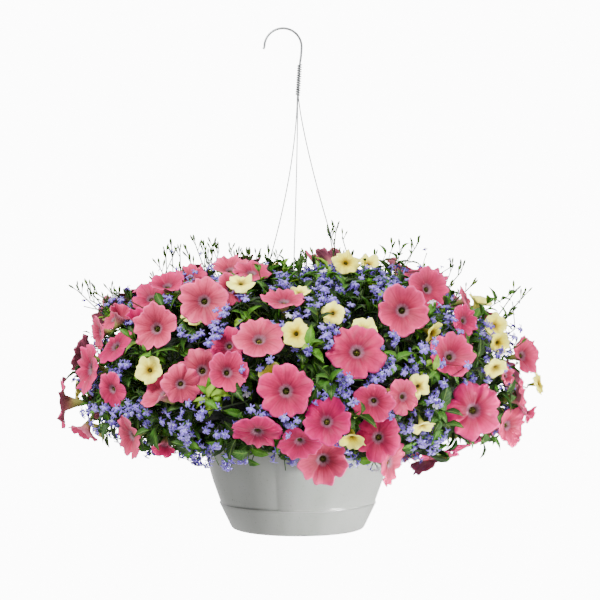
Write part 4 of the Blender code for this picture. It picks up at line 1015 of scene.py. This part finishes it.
def stamens_form():
    """Five anthers round a stigma, 1 high along +Z, for the middle of a throat."""
    bm = bmesh.new()
    heads = [(0, 0, 1.0)] + [(0.32 * math.cos(a * 1.2566), 0.32 * math.sin(a * 1.2566), 0.6) for a in range(5)]
    for x, y, top in heads:
        corners = [bm.verts.new((x, y, 0))]
        ring = []
        for i in range(4):
            turn = i * math.pi / 2
            ring.append(bm.verts.new((x + 0.17 * math.cos(turn), y + 0.17 * math.sin(turn), top - 0.2)))
        corners.append(bm.verts.new((x, y, top)))
        for i in range(4):
            bm.faces.new((corners[0], ring[(i + 1) % 4], ring[i]))
            bm.faces.new((corners[1], ring[i], ring[(i + 1) % 4]))
    return form_of("stamens", bm)


stamens = stamens_form()
print("forms:", {form.name: len(form.data.polygons) for form in (broad_leaf, slim_leaf, sepal, floret, bud, stamens)})

# %% [markdown]
# Stalks join each bloom's tube to its spray's fork and the fork to the inner mass. On the real plant they
# bend, because each bloom turns to the light, so the path leaves the tube along the bloom's own axis.
# Behind each petunia stand five green sepals.

# %% Stalks and sepals
stalks = []
sepals = []
anthers = []
for pink, blooms, fork, foot in sprays:
    thick = 1.45 * MM if pink else 1.0 * MM
    shade = rng.uniform(0.35, 0.8)
    stalks.append((even(smooth_route([foot + (foot - fork).normalized() * 4 * MM, foot, fork], 4 * MM), thick), shade))
    for bloom in blooms:
        tip = bloom["centre"] - bloom["axis"] * bloom["tube"] * bloom["radius"]
        bend = tip - bloom["axis"] * min(9 * MM, (tip - fork).length * 0.4)
        stalks.append((even(smooth_route([tip + bloom["axis"] * MM, tip, bend, fork], 3 * MM), thick), shade))
        if not bloom["furled"]:
            middle = bloom["centre"] - bloom["axis"] * 0.42 * bloom["radius"]
            anthers.append((facing(middle, bloom["axis"], bloom["notch"]), 0.2 * bloom["radius"], rng.random()))
        for index in range(5):
            turn = Quaternion(bloom["axis"], 2 * math.pi * index / 5 + 0.3)
            side = turn @ bloom["notch"]
            way = (bloom["axis"] + side * 0.42).normalized()
            length = (0.42 if pink else 0.5) * bloom["radius"]
            out = (side - way * side.dot(way)).normalized()
            place = Matrix((way, -way.cross(out), -out)).transposed().to_4x4()
            place.translation = tip - bloom["axis"] * 0.5 * MM
            sepals.append((place, length, rng.uniform(0.45, 0.8)))


def clear(start, end):
    """Whether no bloom stands between two points."""
    way = end - start
    return bloom_tree.ray_cast(start, way.normalized(), way.length)[0] is None


# %% [markdown]
# The leafy shoots grow out of the inner mass towards the dome, all round it. Each is tried against the
# blooms before it is kept: a stem stops short of a petal in its way, and a leaf that would cut one is made
# shorter or left out. That is a rule that no plain scatter could follow, so the places are chosen in
# Python, and the tree of copies then puts a leaf on each.

# %% Leafy shoots
UNDER_EDGE = 118 * MM
broad_places = []
slim_places = []


def leaf_place(base, way, out):
    """The placing of a leaf along a way, its upper side turned as far as it goes to the light."""
    light = (out * 0.7 + UP * 0.6).normalized()
    up = (light - way * light.dot(way)).normalized()
    place = Matrix((way, up.cross(way), up)).transposed().to_4x4()
    place.translation = base
    return place


def grow_shoot(foot, tip, count, leaf_length, broad, shade):
    """A stem from the inner mass with leaves that touch no bloom."""
    way = (tip - foot).normalized()
    hit = bloom_tree.ray_cast(foot, way, (tip - foot).length)
    if hit[0] is not None:
        tip = foot + way * max(0, hit[3] - 7 * MM)
        if hit[3] < 18 * MM:
            return
    length = (tip - foot).length
    arch = UP * length * rng.uniform(-0.05, 0.12)
    path = smooth_route([foot - way * 5 * MM, foot, foot.lerp(tip, 0.55) + arch, tip], 6 * MM)
    radius = (1.1 if broad else 0.7) * MM
    stalks.append(([(point, radius * (1.15 - 0.6 * i / len(path))) for i, point in enumerate(path)], shade * 0.8))
    spin = rng.uniform(0, 6.3)
    for index in range(count):
        share = 0.30 + 0.70 * index / max(1, count - 1)
        base = path[min(len(path) - 1, round(share * (len(path) - 1)))]
        spin += 2.4
        side = (Quaternion(way, spin) @ way.orthogonal()).normalized()
        lean = way * rng.uniform(0.25, 0.9 if share < 0.9 else 1.6)
        out = (side + lean + UP * 0.15).normalized()
        size = leaf_length * rng.uniform(0.75, 1.2) * (1 if share < 0.9 else 0.75)
        hit = bloom_tree.ray_cast(base, out, size * 1.1)
        if hit[0] is not None:
            size = hit[3] * 0.85
            if size < leaf_length * 0.4:
                continue
        tint = min(1, max(0, shade + rng.uniform(-0.22, 0.22)))
        end = base + out * size
        if end.z > UNDER_EDGE or math.hypot(*end.xy) > 0.24:
            (broad_places if broad else slim_places).append((leaf_place(base, out, way), size, tint))


def core_foot(point):
    return core_tree.find_nearest(point)[0]


SHOOTS = 640
for _ in range(SHOOTS):
    angle = rng.uniform(0, 360)
    rise = math.degrees(math.asin(rng.uniform(-0.75, 1)))
    tip = on_dome(angle, rise, -rng.uniform(4, 34) * MM)
    foot = core_foot(tip + Vector([rng.uniform(-12, 12) * MM for _ in range(3)]))
    broad = rng.random() < 0.6
    shade = rng.choice((0.15, 0.35, 0.5, 0.68)) + (0.15 if tip.z > 0.3 else 0)
    grow_shoot(foot, tip, rng.randint(6, 9), (34 if broad else 19) * MM, broad, shade)

# Short leaves close to the inner mass, so that no part of it shows bare
INNER_LEAVES = 2000
for _ in range(INNER_LEAVES):
    angle = rng.uniform(0, 360)
    base = core_foot(on_dome(angle, math.degrees(math.asin(rng.uniform(-1, 1)))))
    if math.hypot(*base.xy) < 0.15 and base.z < 0.2:
        continue
    out = dome_normal(base)
    way = (out * rng.uniform(0.3, 1.0) + Vector([rng.uniform(-0.8, 0.8) for _ in range(3)])).normalized()
    hit = bloom_tree.ray_cast(base, way, 0.045)
    end = base + way * 0.032
    if hit[0] is None and (end.z > UNDER_EDGE or math.hypot(*end.xy) > 0.24):
        broad_places.append((leaf_place(base, way, out), rng.uniform(24, 38) * MM, rng.uniform(0.0, 0.55)))

# The shoots that stand out in the photograph: pixel of the tip, leaves, their length and shade, and how far
# the tip stands out of the dome
SHOOTS_SEEN = (
    (130, 338, 9, 26, 0.80, 8), (205, 401, 12, 28, 0.95, 4), (446, 424, 6, 30, 0.30, 0), (310, 345, 9, 28, 0.85, 4),
    (400, 358, 8, 28, 0.75, 6), (360, 415, 8, 28, 0.55, 4), (385, 256, 7, 24, 0.62, 16), (402, 250, 8, 24, 0.66, 20),
    (411, 256, 7, 22, 0.62, 18), (430, 262, 7, 26, 0.60, 14), (438, 266, 7, 26, 0.66, 14), (494, 300, 8, 24, 0.70, 14),
    (508, 296, 8, 24, 0.66, 18), (514, 310, 9, 22, 0.80, 18), (487, 309, 7, 24, 0.60, 12), (358, 469, 7, 24, 0.75, 2),
    (489, 437, 6, 34, 0.45, 2), (104, 424, 7, 30, 0.50, 2), (284, 262, 8, 22, 0.85, 8), (240, 420, 7, 24, 0.45, 2),
    (150, 430, 8, 30, 0.35, 2), (470, 435, 7, 32, 0.35, 2), (185, 446, 7, 24, 0.55, 2), (330, 380, 7, 26, 0.5, 4),
    (96, 412, 7, 22, 0.70, 8), (258, 268, 8, 20, 0.70, 10), (318, 268, 8, 20, 0.75, 8), (365, 262, 7, 22, 0.60, 8),
    (146, 352, 8, 20, 0.85, 8), (436, 372, 8, 24, 0.80, 6), (535, 415, 7, 20, 0.60, 10), (540, 350, 6, 20, 0.60, 8),
)
for column, row, count, length, shade, lift in SHOOTS_SEEN:
    tip = on_sightline(column, row, lift * MM)
    for reach in range(0, 90, 6):
        foot = core_foot(tip + Vector([rng.uniform(-reach, reach) * MM for _ in range(3)]))
        if clear(foot, tip):
            break
    grow_shoot(foot, tip, count, length * MM, True, shade)
print("broad leaves", len(broad_places), "slim leaves", len(slim_places))

# %% [markdown]
# Lobelia fills every gap. The frame holds its main sprays, and each of their florets gets a few
# neighbours on threads of their own from the nearest stem. More sprays grow all over the dome out of the
# inner mass, wherever no petal is in the way. On top, bare stems carry slim green buds.

# %% Lobelia
floret_places = []
bud_places = []
threads = []
stem_points = [vert.co.copy() for vert in stem_bm.verts]
stem_tree = KDTree(len(stem_points))
for index, point in enumerate(stem_points):
    stem_tree.insert(point, index)
stem_tree.balance()
THREAD = 0.62 * MM


def put_floret(point, axis, across, tint):
    down = -UP + Vector((rng.uniform(-0.5, 0.5), rng.uniform(-0.5, 0.5), 0))
    down = down - axis * down.dot(axis)
    if down.length < 0.1:
        down = axis.orthogonal()
    place = facing(point, axis, down.cross(axis) * -1)
    floret_places.append((place, across, tint))


def floret_tint():
    if rng.random() < 0.015:
        return 1.0
    return rng.choice((rng.uniform(0.1, 0.4), rng.uniform(0.4, 0.7), rng.uniform(0.5, 0.9)))


def free(point, room):
    return (bloom_tree.find_nearest(point)[3] or 1) > room


for point, axis, across in florets:
    put_floret(point, axis, across * 0.95, floret_tint())
    for _ in range(4):
        normal = dome_normal(point)
        aside = Vector([rng.uniform(-1, 1) for _ in range(3)]).normalized() * rng.uniform(9, 20) * MM
        there = point + aside - normal * rng.uniform(0, 8) * MM
        root = stem_tree.find(there)[0]
        if dome_level(there) > 1.04 or not free(there, 5.5 * MM) or not clear(root, there):
            continue
        lean = Vector([rng.uniform(-0.6, 0.6) for _ in range(3)])
        put_floret(there, (normal + lean).normalized(), rng.uniform(13, 16) * MM, floret_tint())
        axis_there = (normal + lean).normalized()
        back = there - axis_there * 6.5 * MM
        threads.append((even(smooth_route([root, root.lerp(back, 0.6) - UP * 2 * MM, back], 5 * MM), THREAD), 0.3))
print("florets along the sprays", len(floret_places))


def lobelia_tuft(tip, foot, count, reach, buds):
    """A thread from the inner mass with florets or buds round its end."""
    way = (tip - foot).normalized()
    if not clear(foot, tip):
        return
    middle = foot.lerp(tip, 0.5) + Vector([rng.uniform(-4, 4) * MM for _ in range(3)])
    path = smooth_route([foot - way * 4 * MM, foot, middle, tip], 7 * MM)
    threads.append((even(path, THREAD * 1.4), 0.25))
    for index in range(count):
        base = path[max(0, len(path) - 1 - index // 2)]
        lean = Vector([rng.uniform(-1, 1) for _ in range(3)])
        axis = (dome_normal(tip) * 0.9 + lean * 0.8 + (UP * 0.7 if buds else Vector())).normalized()
        there = base + axis * rng.uniform(0.5, 1.0) * reach
        if not free(there, 5 * MM) or not clear(base, there):
            continue
        if buds:
            place = facing(there, axis, axis.orthogonal())
            bud_places.append((place, rng.uniform(8, 12) * MM, rng.uniform(0.25, 0.7)))
            threads.append((even([base, there], THREAD), 0.3))
        else:
            put_floret(there, axis, rng.uniform(12, 16) * MM, floret_tint())
            threads.append((even([base, there - axis * 6 * MM], THREAD), 0.3))


TUFTS = 470
for _ in range(TUFTS):
    angle = rng.uniform(0, 360)
    rise = math.degrees(math.asin(rng.uniform(-0.65, 1)))
    tip = on_dome(angle, rise, -rng.uniform(8, 30) * MM)
    lobelia_tuft(tip, core_foot(tip), rng.randint(3, 5), 14 * MM, False)

# Bud stems that stand above the dome in the photograph: pixel of the tip and number of buds
BUDS_SEEN = (
    (78, 291, 4), (88, 288, 5), (98, 294, 4), (111, 293, 5), (119, 296, 4), (128, 300, 3), (160, 268, 3),
    (166, 255, 4), (172, 250, 5), (180, 253, 4), (188, 254, 5), (196, 246, 3), (205, 250, 4), (213, 248, 6),
    (219, 250, 5), (230, 253, 5), (238, 256, 4), (246, 258, 3), (330, 236, 4), (336, 229, 4), (343, 240, 3),
    (392, 248, 4), (400, 250, 3), (417, 245, 5), (425, 243, 5), (434, 248, 4), (452, 268, 4), (461, 272, 4),
    (514, 293, 4), (524, 296, 4), (90, 300, 4), (105, 303, 4), (300, 268, 3), (268, 258, 4),
)
for column, row, count in BUDS_SEEN:
    tip = on_sightline(column, row, 6 * MM)
    for _ in range(6):
        foot = core_foot(tip + Vector([rng.uniform(-40, 40) * MM for _ in range(3)]))
        if clear(foot, tip):
            break
    lobelia_tuft(tip, foot, count, 9 * MM, True)
for _ in range(90):
    tip = on_dome(rng.uniform(-20, 200), rng.uniform(10, 85), rng.uniform(0, 12) * MM)
    lobelia_tuft(tip, core_foot(tip), rng.randint(3, 5), 10 * MM, True)
print("florets", len(floret_places), "buds", len(bud_places), "threads", len(threads))

# %% Make the pieces of foliage and lobelia
leaves = piece_of("broad_leaves", copies("broad_leaves", broad_places, broad_leaf, leaf_skin))
slim = piece_of("slim_leaves", copies("slim_leaves", slim_places, slim_leaf, leaf_skin))
green = piece_of("bloom_sepals", copies("bloom_sepals", sepals, sepal, leaf_skin))
pollen_piece = piece_of("bloom_stamens", copies("bloom_stamens", anthers, stamens, pollen))
stalk_piece = piece_of("stalks", rods("stalks", stalks, stem_skin, 5))
thread_piece = piece_of("lobelia_threads", rods("lobelia_threads", threads, stem_skin, 4))
bud_piece = piece_of("lobelia_buds", copies("lobelia_buds", bud_places, bud, stem_skin))
stem_mesh = bpy.data.meshes.new("lobelia_stems")
stem_bm.to_mesh(stem_mesh)
stem_bm.free()
stem_piece = piece_of("lobelia_stems", stem_mesh, stem_skin)
blue = piece_of("lobelia_florets", copies("lobelia_florets", floret_places, floret, lobelia_petals))
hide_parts(*[node for node in sorted(nodes) if node.startswith("lobelia_spray")])

# %% [markdown]
# The light is a plain white studio. The surround lights everything evenly, a little more from the backdrop
# behind, and what the camera sees of it is burnt out to white. One large soft light high in front gives
# form, and two lower ones from the right reach the flowers and the pot under them. The pot's left side stays
# dim, as in the photograph.

# %% Light and floor
SURROUND = 0.75
BEHIND = 1.7
BURNT_OUT = 12.0
world = bpy.data.worlds.new("white_studio")
bpy.context.scene.world = world
world.use_nodes = True
tree = world.node_tree
seen = add(tree, "ShaderNodeLightPath").outputs["Is Camera Ray"]
backdrop = tree.nodes["Background"]
backdrop.inputs["Color"].default_value = (1, 1, 1, 1)
way = add(tree, "ShaderNodeTexCoord").outputs["Generated"]
back = add(tree, "ShaderNodeSeparateXYZ", {0: way}).outputs["Y"]
back = add(tree, "ShaderNodeMapRange", {0: back, 1: 0.0, 2: 0.6, 3: SURROUND, 4: BEHIND}).outputs[0]
lit = maths(tree, "MAXIMUM", back, maths(tree, "MULTIPLY", seen, BURNT_OUT))
tree.links.new(lit, backdrop.inputs["Strength"])


def soft_light(name, place, target, size, power, spread_angle=180):
    data = bpy.data.lights.new(name, "AREA")
    data.shape = "DISK"
    data.spread = math.radians(spread_angle)
    data.size = size
    data.energy = power
    light = bpy.data.objects.new(name, data)
    light.location = place
    light.rotation_euler = (Vector(target) - Vector(place)).to_track_quat("-Z", "Y").to_euler()
    light.visible_camera = False
    bpy.context.scene.collection.objects.link(light)


soft_light("key", (-1.1, -1.6, 2.1), (0, 0, 0.25), 0.9, 145)
soft_light("right", (2.1, -1.3, 0.0), (0, 0, 0.1), 0.9, 50)
soft_light("pot_right", (2.0, -1.25, -0.1), (0, 0, 0.04), 0.3, 1.9, 14)

FLOOR = -1.3
floor_bm = bmesh.new()
bmesh.ops.create_circle(floor_bm, cap_ends=True, segments=96, radius=6)
floor_mesh = bpy.data.meshes.new("floor")
floor_bm.to_mesh(floor_mesh)
floor_bm.free()
floor = bpy.data.objects.new("floor", floor_mesh)
floor.location = (0, 0, FLOOR)
bpy.context.scene.collection.objects.link(floor)
pale, tree, shader = finish_of("pale_floor", 0.9)
shader.inputs["Base Color"].default_value = paint("#F4F4F4")
floor_mesh.materials.append(pale)
